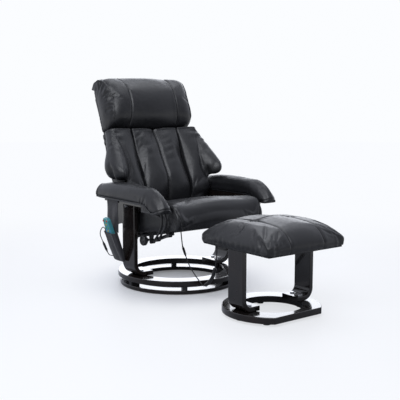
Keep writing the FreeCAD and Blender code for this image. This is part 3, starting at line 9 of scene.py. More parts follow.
import bmesh
import bpy
import numpy as np
from bpy.props import FloatProperty, FloatVectorProperty, IntProperty, PointerProperty
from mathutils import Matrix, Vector


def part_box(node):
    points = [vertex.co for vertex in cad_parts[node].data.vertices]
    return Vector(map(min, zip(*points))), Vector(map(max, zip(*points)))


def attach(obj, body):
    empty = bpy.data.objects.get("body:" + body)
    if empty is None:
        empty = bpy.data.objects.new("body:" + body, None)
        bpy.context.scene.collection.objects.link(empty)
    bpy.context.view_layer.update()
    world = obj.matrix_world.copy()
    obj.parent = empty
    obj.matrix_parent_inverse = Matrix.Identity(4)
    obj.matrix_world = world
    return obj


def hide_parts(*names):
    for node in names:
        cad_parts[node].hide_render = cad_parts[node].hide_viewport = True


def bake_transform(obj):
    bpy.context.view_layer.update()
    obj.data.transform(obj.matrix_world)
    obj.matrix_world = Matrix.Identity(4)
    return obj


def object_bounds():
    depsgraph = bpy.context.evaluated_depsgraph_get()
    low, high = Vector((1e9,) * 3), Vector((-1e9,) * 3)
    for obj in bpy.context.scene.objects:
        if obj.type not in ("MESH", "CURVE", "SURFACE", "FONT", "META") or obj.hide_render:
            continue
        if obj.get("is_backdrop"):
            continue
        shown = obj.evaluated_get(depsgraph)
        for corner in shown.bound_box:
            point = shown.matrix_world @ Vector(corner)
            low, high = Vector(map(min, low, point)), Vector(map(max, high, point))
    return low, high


bl_info = {
    "name": "Massage chair dressing",
    "version": (1, 0, 0),
    "blender": (4, 5, 0),
    "location": "3D View > Sidebar > Chair",
    "description": "Dresses the frame of a massage chair and its footstool",
    "category": "Object",
}

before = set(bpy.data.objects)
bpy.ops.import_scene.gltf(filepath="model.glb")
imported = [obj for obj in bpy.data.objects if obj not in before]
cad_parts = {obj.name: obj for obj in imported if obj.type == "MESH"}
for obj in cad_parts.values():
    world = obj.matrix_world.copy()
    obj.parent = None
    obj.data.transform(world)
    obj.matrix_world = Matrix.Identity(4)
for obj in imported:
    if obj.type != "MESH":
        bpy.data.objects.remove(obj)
frame_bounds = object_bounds()

SIDES = (("right", -1), ("left", 1))

# The back turns on this line, and leans by this much from upright
HINGE = np.array((0.0, 0.175, 0.300))
LEAN = math.radians(21)

# Middle of the footstool, and the frame that the pouch and the handset lean in
STOOL = np.array((-0.028, -0.709, 0.0))
POUCH_FOOT = np.array((-0.302, 0.063, 0.132))
POUCH_LEAN = math.radians(19)

# A seam's distance is kept this much above nothing, so that a piece without seams reads as far from one
SEAM_SHIFT = 0.05
SEAM_REACH = 0.04

POUCH_HEIGHT = 0.153

# Waves in a cover's soft unevenness, rings on a strain relief and on the sleeve
COVER_WAVES = 7
RELIEF_RINGS = 5
SLEEVE_RINGS = 16

# Width of the camera's sensor in millimetres, and how far it sees in metres
SENSOR_WIDTH = 36
FURTHEST_SEEN = 60


def tint(name, description, value):
    """Setting that holds a colour."""
    return FloatVectorProperty(
        name=name, description=description, subtype="COLOR", size=3, min=0, max=1, default=value)


def measure(name, description, value, least):
    """Setting that holds a length."""
    return FloatProperty(name=name, description=description, unit="LENGTH", default=value, min=least)


class UpholsterySettings(bpy.types.PropertyGroup):
    """How the padded covers are filled and coloured."""
    colour: tint("Cover colour", "Colour of the coated cloth", (0.0078, 0.0081, 0.0096))
    rubbed: tint("Rubbed colour", "Colour of the coated cloth where it is handled", (0.0130, 0.0134, 0.0152))
    voxel: measure("Mesh step", "Step of the mesh that is filled", 0.006, 0.003)
    pressure: FloatProperty(
        name="Filling", description="Pressure of the filling inside a cover", default=4.0, min=0)
    slack: measure("Undersize", "How much smaller a cover starts than it ends", 0.004, 0)
    piping: measure("Piping radius", "Radius of the sewn edge cord", 0.0026, 0.001)


class FinishSettings(bpy.types.PropertyGroup):
    """Colours of the hard parts."""
    lacquer: tint("Lacquer", "Colour of the lacquered wood", (0.0060, 0.0046, 0.0044))
    steel: tint("Coated steel", "Colour of the painted steel", (0.012, 0.012, 0.013))
    plastic: tint("Black plastic", "Colour of the moulded plastic", (0.014, 0.014, 0.015))
    remote_top: tint("Remote, upper end", "Colour at the upper end of the remote", (0.085, 0.42, 0.36))
    remote_foot: tint("Remote, lower end", "Colour at the lower end of the remote", (0.05, 0.32, 0.52))


class LeadSettings(bpy.types.PropertyGroup):
    """Sizes of the two leads."""
    remote_radius: measure("Remote lead, radius", "Radius of the lead to the remote", 0.0021, 0.0005)
    link_radius: measure("Footstool lead, radius", "Radius of the lead to the footstool", 0.0026, 0.0005)
    sleeve_radius: measure("Sleeve, radius", "Radius of the sleeve on the footstool lead", 0.0085, 0.001)
    sides: IntProperty(name="Sides", description="Flats round a lead's tube", default=16, min=6)


class StageSettings(bpy.types.PropertyGroup):
    """Floor, light and camera."""
    lens: FloatProperty(name="Lens", description="Focal length in millimetres", default=67.17, min=10)
    camera_place: FloatVectorProperty(
        name="Camera", description="Place of the camera", subtype="TRANSLATION", unit="LENGTH", size=3,
        default=(-2.1297, -2.9690, 0.8797))
    camera_turn: FloatVectorProperty(
        name="Camera turn", description="Pitch, roll and heading of the camera", subtype="EULER", size=3,
        default=(math.radians(82.62), 0.0, math.radians(-37.32)))
    floor: tint("Floor colour", "Colour of the studio floor", (0.86, 0.87, 0.90))
    key: FloatProperty(name="Key lamp", description="Power of the large lamp in watts", default=72.0, min=0)
    fill: FloatProperty(name="Fill", description="Strength of the room light", default=0.40, min=0)


# Arrays and meshes

def link(name, data):
    """New object of some data in the scene."""
    piece = bpy.data.objects.new(name, data)
    bpy.context.scene.collection.objects.link(piece)
    return piece


def removed(piece):
    """Take a piece and its data out of the file."""
    spare = piece.data
    kept_in = bpy.data.curves if isinstance(spare, bpy.types.Curve) else bpy.data.meshes
    bpy.data.objects.remove(piece)
    kept_in.remove(spare)


def modifier(piece, kind, **traits):
    """New modifier of a piece, with its settings."""
    made = piece.modifiers.new(kind.lower(), kind)
    for trait, value in traits.items():
        setattr(made, trait, value)
    return made


def triples(items, trait):
    """One trait of every item, as rows of x, y and z."""
    flat = np.empty(len(items) * 3, np.float32)
    items.foreach_get(trait, flat)
    return flat.reshape(-1, 3).astype(float)


def places(mesh):
    """Every vertex of a mesh, as rows of x, y and z."""
    return triples(mesh.vertices, "co")


def put_places(mesh, points):
    """Move every vertex of a mesh to its row."""
    mesh.vertices.foreach_set("co", np.ascontiguousarray(points, np.float32).ravel())
    mesh.update()


def outward(mesh):
    """Unit normal at every vertex of a mesh."""
    return triples(mesh.vertex_normals, "vector")


def smooth(mesh):
    """Shade every face of a mesh as part of one smooth surface."""
    mesh.polygons.foreach_set("use_smooth", np.ones(len(mesh.polygons), bool))
    mesh.update()


def surface(name, points, around=False, capped=False):
    """Mesh object over a grid of places: rows run along the surface, columns across it or right round it.

    Corner (i, j) of each four-sided face joins (i, j + 1), (i + 1, j + 1) and (i + 1, j). A surface that runs
    right round joins its last column to its first, and a capped one closes each end with one flat face.
    """
    rows, columns = points.shape[:2]
    index = np.arange(rows * columns).reshape(rows, columns)
    after = np.roll(index, -1, axis=1) if around else index[:, 1:]
    here = index if around else index[:, :-1]
    faces = np.stack((here[:-1], after[:-1], after[1:], here[1:]), axis=-1).reshape(-1, 4).tolist()
    if capped:
        faces += [index[0][::-1].tolist(), index[-1].tolist()]
    mesh = bpy.data.meshes.new(name)
    mesh.from_pydata(points.reshape(-1, 3).tolist(), [], faces)
    smooth(mesh)
    return link(name, mesh)


def turned_out(piece):
    """Make every face of a closed piece point outwards."""
    shape = bmesh.new()
    shape.from_mesh(piece.data)
    bmesh.ops.recalc_face_normals(shape, faces=shape.faces)
    shape.to_mesh(piece.data)
    shape.free()
    return piece


def applied(piece):
    """Give a piece the mesh that its modifiers make of it, and take them off."""
    mesh = bpy.data.meshes.new_from_object(piece.evaluated_get(bpy.context.evaluated_depsgraph_get()))
    piece.modifiers.clear()
    spare = piece.data
    piece.data = mesh
    bpy.data.meshes.remove(spare)
    return piece


def joined(name, pieces):
    """One object from several, in the order given."""
    shape = bmesh.new()
    for piece in pieces:
        shape.from_mesh(piece.data)
        removed(piece)
    mesh = bpy.data.meshes.new(name)
    shape.to_mesh(mesh)
    shape.free()
    smooth(mesh)
    return link(name, mesh)


def route(name, points, resolution):
    """Curve object that a route's points pull towards themselves."""
    curve = bpy.data.curves.new(name, "CURVE")
    curve.dimensions = "3D"
    spline = curve.splines.new("NURBS")
    spline.points.add(len(points) - 1)
    for item, point in zip(spline.points, points):
        item.co = (*point, 1)
    spline.order_u = 3
    spline.use_endpoint_u = True
    spline.resolution_u = resolution
    return link(name, curve)


def line_of(points):
    """Places along the smooth curve of a route's points."""
    carrier = route("route", points, 12)
    mesh = bpy.data.meshes.new_from_object(carrier.evaluated_get(bpy.context.evaluated_depsgraph_get()))
    found = places(mesh)
    removed(carrier)
    bpy.data.meshes.remove(mesh)
    return found


def evenly(line, step):
    """The same line with places an equal step apart along it."""
    runs = np.concatenate(((0.0,), np.cumsum(np.linalg.norm(np.diff(line, axis=0), axis=1))))
    marks = np.linspace(0, runs[-1], max(3, int(round(runs[-1] / step)) + 1))
    return np.stack([np.interp(marks, runs, line[:, axis]) for axis in range(3)], axis=1)


def tube(name, line, radii, aside, sides):
    """Round tube along a line: place + radius x (cos a x side + sin a x up), where the side is the given
    direction less its part along the line, and up is square to both."""
    along = np.gradient(line, axis=0)
    along /= np.linalg.norm(along, axis=1)[:, None]
    side = np.array(aside, float) - (along @ np.array(aside, float))[:, None] * along
    side /= np.linalg.norm(side, axis=1)[:, None]
    up = np.cross(along, side)
    angle = np.linspace(0, 2 * math.pi, sides, endpoint=False)
    radii = np.broadcast_to(np.asarray(radii, float), (len(line),))
    ring = np.cos(angle)[None, :, None] * side[:, None] + np.sin(angle)[None, :, None] * up[:, None]
    return surface(name, line[:, None] + radii[:, None, None] * ring, around=True, capped=True)


# Shapes of seams, creases and gathers, as heights in metres over arrays of places

def groove(distance, depth, width):
    """Sewn seam: -depth x exp(-(distance / width) squared), with a low roll of cover on both sides of it."""
    far = np.abs(distance) / width
    return depth * (-np.exp(-far ** 2) + 0.10 * np.exp(-((far - 3.2) / 1.8) ** 2))


def crease(across, along, length, depth, width, bow=0.0):
    """Short fold that fades at both ends: a groove across it with a ridge on each side, bent by a bow."""
    share = np.clip(np.abs(along) / length, 0, 1)
    fade = (1 - share ** 2) ** 2
    far = (across - bow * share ** 2) / width
    return depth * fade * (-np.exp(-far ** 2) + 0.55 * np.exp(-((np.abs(far) - 1.9) / 1.1) ** 2))


def gathers(along, inward, spots, seed):
    """Pleats drawn in by an edge seam. Each spot is (place along the edge, depth, reach, width); a pleat is
    deepest just inside the edge, fades over its reach and widens and bends a little as it goes."""
    chance = np.random.default_rng(seed)
    total = np.zeros_like(along)
    inside = np.clip(inward, 0, None)
    for spot, depth, reach, width in spots:
        bend = chance.uniform(-0.22, 0.22)
        spread = width * (1 + 0.55 * inside / reach)
        far = (along - spot - bend * inside) / spread
        fade = np.exp(-(inside / reach) ** 2) * np.clip(inside / 0.010, 0.05, 1)
        total += depth * fade * (-np.exp(-far ** 2) + 0.5 * np.exp(-((np.abs(far) - 1.8) / 1.0) ** 2))
    return total


def row_of(first, last, pitch, depth, reach, width, seed):
    """Spots for gathers at an uneven pitch, each of its own depth and reach."""
    chance = np.random.default_rng(seed)
    count = max(1, int(round((last - first) / pitch)))
    marks = np.linspace(first, last, count) + chance.uniform(-0.28, 0.28, count) * pitch
    return [(mark, depth * chance.uniform(0.45, 1.15), reach * chance.uniform(0.6, 1.35),
             width * chance.uniform(0.75, 1.3)) for mark in marks]


def slack_cover(points, scale, seed):
    """Soft unevenness of a filled cover: a sum of long waves in set directions, between -1 and 1."""
    chance = np.random.default_rng(seed)
    total = np.zeros(len(points))
    for _ in range(COVER_WAVES):
        direction = chance.normal(size=3)
        direction /= np.linalg.norm(direction)
        pitch = scale * chance.uniform(0.7, 1.7)
        total += np.sin(points @ direction * (2 * math.pi / pitch) + chance.uniform(0, 2 * math.pi))
    return total / 4.2


def band(value, low, high, soft):
    """One between two limits and nothing outside them, with soft ends."""
    rise = 1 / (1 + np.exp(-np.clip((value - low) / soft, -40, 40)))
    fall = 1 / (1 + np.exp(-np.clip((high - value) / soft, -40, 40)))
    return rise * fall


def on_back(points):
    """Across, up the back and out of its front, in metres, of places in the room."""
    rise = points - HINGE
    return (points[:, 0], rise[:, 1] * math.sin(LEAN) + rise[:, 2] * math.cos(LEAN),
            -rise[:, 1] * math.cos(LEAN) + rise[:, 2] * math.sin(LEAN))


def from_back(across, up, out):
    """Places in the room of places across, up and out of the back."""
    return np.stack((across, HINGE[1] + up * math.sin(LEAN) - out * math.cos(LEAN),
                     HINGE[2] + up * math.cos(LEAN) + out * math.sin(LEAN)), axis=-1)


def from_pouch(points):
    """Places in the room of places in the leaning frame of the pouch."""
    cos, sin = math.cos(POUCH_LEAN), math.sin(POUCH_LEAN)
    x, y, z = points[..., 0], points[..., 1], points[..., 2]
    return np.stack((x * cos - z * sin, y, x * sin + z * cos), axis=-1) + POUCH_FOOT


# Filling of the padded covers

CLOTH_STEPS = 20


def solid_copy(name, node):
    """Copy of a solid of the frame, with its loose triangles welded."""
    shape = bmesh.new()
    shape.from_mesh(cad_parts[node].data)
    bmesh.ops.remove_doubles(shape, verts=shape.verts, dist=2e-5)
    mesh = bpy.data.meshes.new(name)
    shape.to_mesh(mesh)
    shape.free()
    return link(name, mesh)


def relaxed(piece, turns, factor=0.5):
    """Even out a mesh by moving each vertex towards the middle of its neighbours."""
    modifier(piece, "SMOOTH", factor=factor, iterations=turns)
    applied(piece)


def filled(piece, held, cap):
    """Swell a cover under pressure by a short cloth simulation. Held vertices stay, and no other
    moves further than its cap."""
    settings = bpy.context.scene.chair_upholstery
    start = places(piece.data)
    group = piece.vertex_groups.new(name="held")
    group.add(np.flatnonzero(held).tolist(), 1.0, "REPLACE")
    cloth = modifier(piece, "CLOTH")
    for trait, value in (("quality", 4), ("vertex_group_mass", "held"), ("use_pressure", True),
                         ("uniform_pressure_force", settings.pressure), ("tension_stiffness", 12),
                         ("compression_stiffness", 8), ("shear_stiffness", 6), ("bending_stiffness", 1.5)):
        setattr(cloth.settings, trait, value)
    cloth.settings.effector_weights.gravity = 0
    cloth.point_cache.frame_start = 1
    cloth.point_cache.frame_end = CLOTH_STEPS
    for step in range(1, CLOTH_STEPS + 1):
        bpy.context.scene.frame_set(step)
    applied(piece)
    bpy.context.scene.frame_set(1)
    piece.vertex_groups.clear()
    moved = places(piece.data) - start
    far = np.linalg.norm(moved, axis=1)
    share = np.minimum(1, cap / np.maximum(far, 1e-9))
    put_places(piece.data, start + moved * share[:, None])


def padded_cover(name, node, cap, held, voxel=None, form=None):
    """Cover over a copy of one solid of the frame: laid out in even squares, brought to a fuller form,
    drawn in by the undersize, filled, and divided once more. The cap and the held part are functions of
    place and normal, and the form gives each place its new one."""
    settings = bpy.context.scene.chair_upholstery
    piece = solid_copy(name, node)
    modifier(piece, "REMESH", mode="VOXEL", voxel_size=voxel or settings.voxel)
    applied(piece)
    relaxed(piece, 2)
    if form:
        put_places(piece.data, form(places(piece.data)))
    points = places(piece.data)
    normals = outward(piece.data)
    kept = held(points, normals)
    put_places(piece.data, points - normals * np.where(kept, 0, settings.slack)[:, None])
    filled(piece, kept, cap(points, normals))
    relaxed(piece, 2, 0.35)
    modifier(piece, "SUBSURF", levels=1, render_levels=1)
    applied(piece)
    smooth(piece.data)
    return piece


def shaped(piece, height):
    """Push a cover's surface in and out along its normals by a height at each place."""
    points = places(piece.data)
    normals = outward(piece.data)
    put_places(piece.data, points + normals * height(points, normals)[:, None])


def sewn(piece, seam=None, edge=None):
    """Write how far each vertex is from a seam and from a second one, the shift added, for the thin dark line
    of painted shade that the finish draws where the distance is nothing. Each is a function of place."""
    points = places(piece.data)
    for name, distance in (("seam", seam), ("edge_seam", edge)):
        if distance is not None:
            layer = piece.data.attributes.new(name, "FLOAT", "POINT")
            away = SEAM_SHIFT + np.clip(distance(points), -SEAM_REACH, SEAM_REACH)
            layer.data.foreach_set("value", away.astype(np.float32))


def mirrored(name, piece):
    """Copy of a piece for the sitter's other side, with its faces turned outwards again."""
    mesh = piece.data.copy()
    mesh.name = name
    points = places(mesh)
    points[:, 0] *= -1
    put_places(mesh, points)
    mesh.flip_normals()
    mesh.update()
    return link(name, mesh)


# Finishes

class Layout:
    """Adds nodes to one node tree and joins them."""

    def __init__(self, tree):
        self.tree = tree

    def add(self, kind, feeds=None, **traits):
        """New node, with its settings, and with sockets that take a value or another node's output."""
        made = self.tree.nodes.new(kind)
        for trait, value in traits.items():
            setattr(made, trait, value)
        for socket, value in (feeds or {}).items():
            self.feed(made.inputs[socket], value)
        return made

    def feed(self, socket, value):
        """Join an output to a socket, or set the socket's own value."""
        if isinstance(value, bpy.types.NodeSocket):
            self.tree.links.new(value, socket)
        else:
            socket.default_value = value

    def sum(self, operation, first, second, clamp=False):
        """Output of one sum with two numbers."""
        made = self.add("ShaderNodeMath", {0: first, 1: second}, operation=operation, use_clamp=clamp)
        return made.outputs[0]

    def between(self, value, low, high, new_low=0.0, new_high=1.0):
        """Output that takes a value from one range smoothly to another."""
        feeds = {"Value": value, "From Min": low, "From Max": high, "To Min": new_low, "To Max": new_high}
        return self.add("ShaderNodeMapRange", feeds, interpolation_type="SMOOTHSTEP").outputs["Result"]

    def spread(self, share, low, high):
        """Output that goes from low to high as a share goes from nothing to one."""
        return self.between(share, 0.0, 1.0, low, high)

    def blend(self, share, first, second):
        """Output that goes from one colour to another."""
        made = self.add("ShaderNodeMix", data_type="RGBA")
        self.feed(made.inputs["Factor"], share)
        self.feed(made.inputs[6], first)
        self.feed(made.inputs[7], second)
        return made.outputs[2]

    def noise(self, vector, scale, detail=3.0, roughness=0.55, distortion=0.0):
        """Output of cloudy noise."""
        feeds = {"Vector": vector, "Scale": scale, "Detail": detail, "Roughness": roughness,
                 "Distortion": distortion}
        return self.add("ShaderNodeTexNoise", feeds).outputs["Fac"]

    def bump(self, height, strength, distance, normal=None):
        """Output of a normal that stands for a height."""
        made = self.add("ShaderNodeBump", {"Height": height, "Strength": strength, "Distance": distance})
        if normal is not None:
            self.feed(made.inputs["Normal"], normal)
        return made.outputs["Normal"]

    def vector(self, operation, first, second):
        """Node of one sum with two vectors."""
        return self.add("ShaderNodeVectorMath", {0: first, 1: second}, operation=operation)

    def looks(self):
        """Outputs of the light path, and one for what is looked at straight, in a gloss or through glass."""
        seen = self.add("ShaderNodeLightPath").outputs
        straight = self.sum("ADD", seen["Is Camera Ray"], seen["Is Glossy Ray"])
        return seen, self.sum("ADD", straight, seen["Is Transmission Ray"], True)


def effect(name, takes, gives, build):
    """Node group with a Vector input, further named number inputs and number outputs, or the one made before.
    What is in it comes from a function of its layout, its inputs and the sockets of its outputs."""
    if name in bpy.data.node_groups:
        return bpy.data.node_groups[name]
    group = bpy.data.node_groups.new(name, "ShaderNodeTree")
    group.interface.new_socket("Vector", in_out="INPUT", socket_type="NodeSocketVector")
    for socket, value in takes.items():
        made = group.interface.new_socket(socket, in_out="INPUT", socket_type="NodeSocketFloat")
        made.default_value = value
    for socket in gives:
        group.interface.new_socket(socket, in_out="OUTPUT", socket_type="NodeSocketFloat")
    lay = Layout(group)
    build(lay, lay.add("NodeGroupInput").outputs, lay.add("NodeGroupOutput").inputs)
    return group


def effect_of(name, takes, gives):
    """Turns a function that fills a group into one that gives the group."""
    return lambda build: functools.partial(effect, name, takes, gives, build)


@effect_of("Coated cloth grain", {"Pebbles per metre": 620.0, "Stretch": 0.35}, ("Height", "Valleys"))
def cloth_grain(lay, takes, gives):
    """Pebbled grain of coated cloth: flat pebbles parted by fine valleys, with short stretch marks; the
    Valleys output is the mask where shade is painted into the grain.
    """
    bent = lay.add("ShaderNodeTexNoise", {"Vector": takes["Vector"], "Scale": 260.0, "Detail": 2.0})
    moved = lay.vector("MULTIPLY", bent.outputs["Color"], (0.0022, 0.0022, 0.0022))
    place = lay.vector("ADD", takes["Vector"], moved.outputs[0]).outputs[0]
    cells = lay.add("ShaderNodeTexVoronoi", {"Vector": place, "Scale": takes["Pebbles per metre"]},
                    feature="DISTANCE_TO_EDGE").outputs["Distance"]
    pebbles = lay.between(cells, 0.0, 0.16)
    streaks = lay.noise(takes["Vector"], 95.0, 5.0, 0.62, 1.4)
    deep = lay.sum("MULTIPLY", lay.between(streaks, 0.36, 0.62), takes["Stretch"])
    lay.feed(gives["Height"], lay.sum("ADD", pebbles, deep))
    lay.feed(gives["Valleys"], lay.sum("SUBTRACT", 1.0, pebbles, True))


@effect_of("Handling marks", {"Patches per metre": 7.0}, ("Mask", "Fine mask"))
def handling(lay, takes, gives):
    """Where a surface is handled: broad soft patches broken up by finer ones."""
    broad = lay.noise(takes["Vector"], takes["Patches per metre"], 2.0, 0.5)
    fine_scale = lay.sum("MULTIPLY", takes["Patches per metre"], 11.0)
    fine = lay.noise(takes["Vector"], fine_scale, 5.0, 0.62)
    mixed = lay.sum("ADD", lay.sum("MULTIPLY", broad, 0.7), lay.sum("MULTIPLY", fine, 0.3))
    lay.feed(gives["Mask"], lay.between(mixed, 0.36, 0.64))
    lay.feed(gives["Fine mask"], lay.between(fine, 0.38, 0.66))


@effect_of("Wood figure", {"Streaks per metre": 60.0}, ("Mask", "Pores"))
def wood_figure(lay, takes, gives):
    """Faint figure of stained wood under lacquer: long streaks with pores."""
    stretched = {"Vector": takes["Vector"], "Scale": (1.0, 0.16, 0.16)}
    drawn = lay.add("ShaderNodeMapping", stretched).outputs[0]
    streaks = lay.noise(drawn, takes["Streaks per metre"], 6.0, 0.6, 0.8)
    pore_scale = lay.sum("MULTIPLY", takes["Streaks per metre"], 9.0)
    pores = lay.noise(drawn, pore_scale, 2.0, 0.5)
    lay.feed(gives["Mask"], lay.between(streaks, 0.35, 0.65))
    lay.feed(gives["Pores"], lay.between(pores, 0.6, 0.74))


@effect_of("Settled dust", {"Amount": 0.1}, ("Mask",))
def settled_dust(lay, takes, gives):
    """Thin dust on whatever faces up, broken up by noise."""
    facing = lay.add("ShaderNodeNewGeometry").outputs["Normal"]
    upward = lay.between(lay.add("ShaderNodeSeparateXYZ", {0: facing}).outputs["Z"], 0.45, 0.98)
    clouds = lay.between(lay.noise(takes["Vector"], 42.0, 6.0, 0.7), 0.3, 0.75)
    lay.feed(gives["Mask"], lay.sum("MULTIPLY", lay.sum("MULTIPLY", upward, clouds), takes["Amount"]))


@effect_of("Fine texture", {"Grains per metre": 1400.0}, ("Height",))
def fine_texture(lay, takes, gives):
    """Fine spark-eroded or sprayed texture of moulded plastic and painted steel."""
    lay.feed(gives["Height"], lay.noise(takes["Vector"], takes["Grains per metre"], 3.0, 0.6))


@effect_of("Plain weave", {"Threads per metre": 1500.0}, ("Height", "Mask"))
def woven(lay, takes, gives):
    """Plain weave: two sets of threads that pass over each other in turn."""
    turn = lay.sum("MULTIPLY", takes["Threads per metre"], math.pi)
    part = lay.add("ShaderNodeSeparateXYZ", {0: takes["Vector"]}).outputs
    warp = lay.sum("SINE", lay.sum("MULTIPLY", lay.sum("ADD", part["X"], part["Y"]), turn), 0.0)
    weft = lay.sum("SINE", lay.sum("MULTIPLY", part["Z"], turn), 0.0)
    over = lay.sum("MULTIPLY", warp, weft)
    loose = lay.noise(takes["Vector"], 190.0, 3.0, 0.6)
    lay.feed(gives["Height"], lay.sum("ADD", lay.sum("MULTIPLY", over, 0.5), loose))
    lay.feed(gives["Mask"], lay.between(over, -0.6, 0.6))


def finish(name, dress):
    """Material of a name, dressed by a function of its layout, shader and place, or the one made before."""
    if name in bpy.data.materials:
        return bpy.data.materials[name]
    made = bpy.data.materials.new(name)
    made.use_nodes = True
    lay = Layout(made.node_tree)
    shader = made.node_tree.nodes["Principled BSDF"]
    place = lay.add("ShaderNodeTexCoord").outputs["Object"]
    dress(lay, shader, place)
    return made


def finish_of(name):
    """Turns a function that dresses a shader into one that gives the material of a name."""
    return lambda dress: functools.partial(finish, name, dress)


def placed(lay, group, place, **values):
    """Node of a group in a material, with its own values."""
    made = lay.add("ShaderNodeGroup")
    made.node_tree = group
    lay.feed(made.inputs["Vector"], place)
    for socket, value in values.items():
        made.inputs[socket.replace("_", " ")].default_value = value
    return made.outputs


def sewn_mask(lay):
    """One along the seams that a piece's attributes tell of, and nothing where it has none: the mask of the
    painted seam shade.
    """
    lines = []
    for name in ("seam", "edge_seam"):
        held = lay.add("ShaderNodeAttribute", attribute_name=name).outputs["Fac"]
        away = lay.sum("ABSOLUTE", lay.sum("SUBTRACT", held, SEAM_SHIFT), 0.0)
        lines.append(lay.between(away, 0.0017, 0.0006))
    return lay.sum("MAXIMUM", *lines)


def coat(lay, shader, colour, rough, normal, **traits):
    """Feed a shader its colour, roughness and normal, and set further sockets by name."""
    lay.feed(shader.inputs["Base Color"], colour)
    lay.feed(shader.inputs["Roughness"], rough)
    lay.feed(shader.inputs["Normal"], normal)
    for socket, value in traits.items():
        lay.feed(shader.inputs[socket.replace("_", " ")], value)


@finish_of("Black leatherette")
def leatherette(lay, shader, place):
    """Black coated cloth of the padded covers: pebbled grain, soft gloss, rubbed where it is handled, with
    painted shade in the grain's valleys and a dark line of painted shade along the seams.
    """
    settings = bpy.context.scene.chair_upholstery
    grain = placed(lay, cloth_grain(), place, Pebbles_per_metre=560.0, Stretch=0.35)
    marks = placed(lay, handling(), place, Patches_per_metre=6.0)
    colour = lay.blend(marks["Mask"], (*settings.colour, 1), (*settings.rubbed, 1))
    # Painted shade: the grain's valleys are painted darker than the pebbles.
    shade = lay.blend(lay.sum("MULTIPLY", grain["Valleys"], 0.5), colour, (0.0045, 0.0046, 0.0054, 1))
    seam_shade_line = sewn_mask(lay)
    rough = lay.spread(marks["Fine mask"], 0.36, 0.43)
    unevenness = lay.bump(lay.noise(place, 30.0, 2.0, 0.4, 0.3), 0.04, 0.004)
    pressed = lay.sum("SUBTRACT", grain["Height"], lay.sum("MULTIPLY", seam_shade_line, 2.5))
    # Painted shade: a thin near-black line along each seam, where the seam's groove lies in shade.
    coat(lay, shader, lay.blend(seam_shade_line, shade, (0.0010, 0.0010, 0.0012, 1)),
         lay.sum("ADD", rough, lay.sum("MULTIPLY", seam_shade_line, 0.5)),
         lay.bump(pressed, 0.02, 0.0005, unevenness), Specular_IOR_Level=0.45)


@finish_of("Piping leatherette")
def piping_cloth(lay, shader, place):
    """Tighter, smoother coated cloth of the sewn edge cords."""
    grain = placed(lay, cloth_grain(), place, Pebbles_per_metre=900.0, Stretch=0.2)
    marks = placed(lay, handling(), place, Patches_per_metre=30.0)
    coat(lay, shader, lay.blend(marks["Mask"], (0.008, 0.0083, 0.0098, 1), (0.015, 0.0155, 0.0175, 1)),
         lay.spread(marks["Fine mask"], 0.28, 0.38), lay.bump(grain["Height"], 0.2, 0.0003))


@finish_of("Black lacquered wood")
def lacquered_wood(lay, shader, place):
    """Black gloss lacquer over stained wood, brown in its figure, with a little dust on top."""
    settings = bpy.context.scene.chair_finish
    figure = placed(lay, wood_figure(), place, Streaks_per_metre=42.0)
    dust = placed(lay, settled_dust(), place, Amount=0.035)
    brown = lay.blend(figure["Mask"], (*settings.lacquer, 1), (0.0125, 0.0082, 0.0070, 1))
    flow = lay.noise(place, 55.0, 2.0, 0.5)
    coat(lay, shader, lay.blend(dust["Mask"], brown, (0.30, 0.30, 0.30, 1)),
         lay.spread(figure["Pores"], 0.20, 0.30), lay.bump(flow, 0.05, 0.0012),
         Specular_IOR_Level=0.2, Coat_Weight=1.0, Coat_Roughness=0.07, Coat_IOR=1.4)


@finish_of("Black powder paint")
def painted_steel(lay, shader, place):
    """Black powder paint on the track ring, rods, struts, clamp, frames and brackets."""
    settings = bpy.context.scene.chair_finish
    marks = placed(lay, handling(), place, Patches_per_metre=24.0)
    grain = placed(lay, fine_texture(), place, Grains_per_metre=1500.0)
    coat(lay, shader, lay.blend(marks["Fine mask"], (*settings.steel, 1), (0.022, 0.022, 0.024, 1)),
         lay.spread(marks["Mask"], 0.30, 0.42), lay.bump(grain["Height"], 0.25, 0.0003))


@finish_of("Zinc-plated steel")
def zinc_steel(lay, shader, place):
    """Bright zinc on bolts, pins and balls."""
    marks = placed(lay, handling(), place, Patches_per_metre=60.0)
    coat(lay, shader, lay.blend(marks["Mask"], (0.46, 0.47, 0.50, 1), (0.60, 0.61, 0.62, 1)),
         lay.spread(marks["Fine mask"], 0.24, 0.42), lay.bump(marks["Fine mask"], 0.06, 0.0003),
         Metallic=lay.spread(marks["Fine mask"], 0.94, 1.0))


def moulded(name, low, high, rough, grains=1100.0, strength=0.2):
    """Moulded plastic between two colours, with a fine eroded texture and handled patches."""
    def dress(lay, shader, place):
        marks = placed(lay, handling(), place, Patches_per_metre=22.0)
        grain = placed(lay, fine_texture(), place, Grains_per_metre=grains)
        dust = placed(lay, settled_dust(), place, Amount=0.03)
        body = lay.blend(marks["Mask"], (*low, 1), (*high, 1))
        coat(lay, shader, lay.blend(dust["Mask"], body, (0.34, 0.34, 0.34, 1)),
             lay.spread(marks["Fine mask"], rough - 0.05, rough + 0.07),
             lay.bump(grain["Height"], strength, 0.0003))
    return finish(name, dress)


@finish_of("Pouch nylon")
def pouch_cloth(lay, shader, place):
    """Black woven nylon of the pouch and its strap."""
    weave = placed(lay, woven(), place, Threads_per_metre=1100.0)
    marks = placed(lay, handling(), place, Patches_per_metre=18.0)
    worn = lay.blend(marks["Mask"], (0.012, 0.012, 0.014, 1), (0.024, 0.023, 0.027, 1))
    coat(lay, shader, lay.blend(weave["Mask"], worn, (0.017, 0.016, 0.020, 1)),
         lay.spread(marks["Fine mask"], 0.50, 0.66), lay.bump(weave["Height"], 0.3, 0.0004),
         Sheen_Weight=0.25, Sheen_Roughness=0.4)


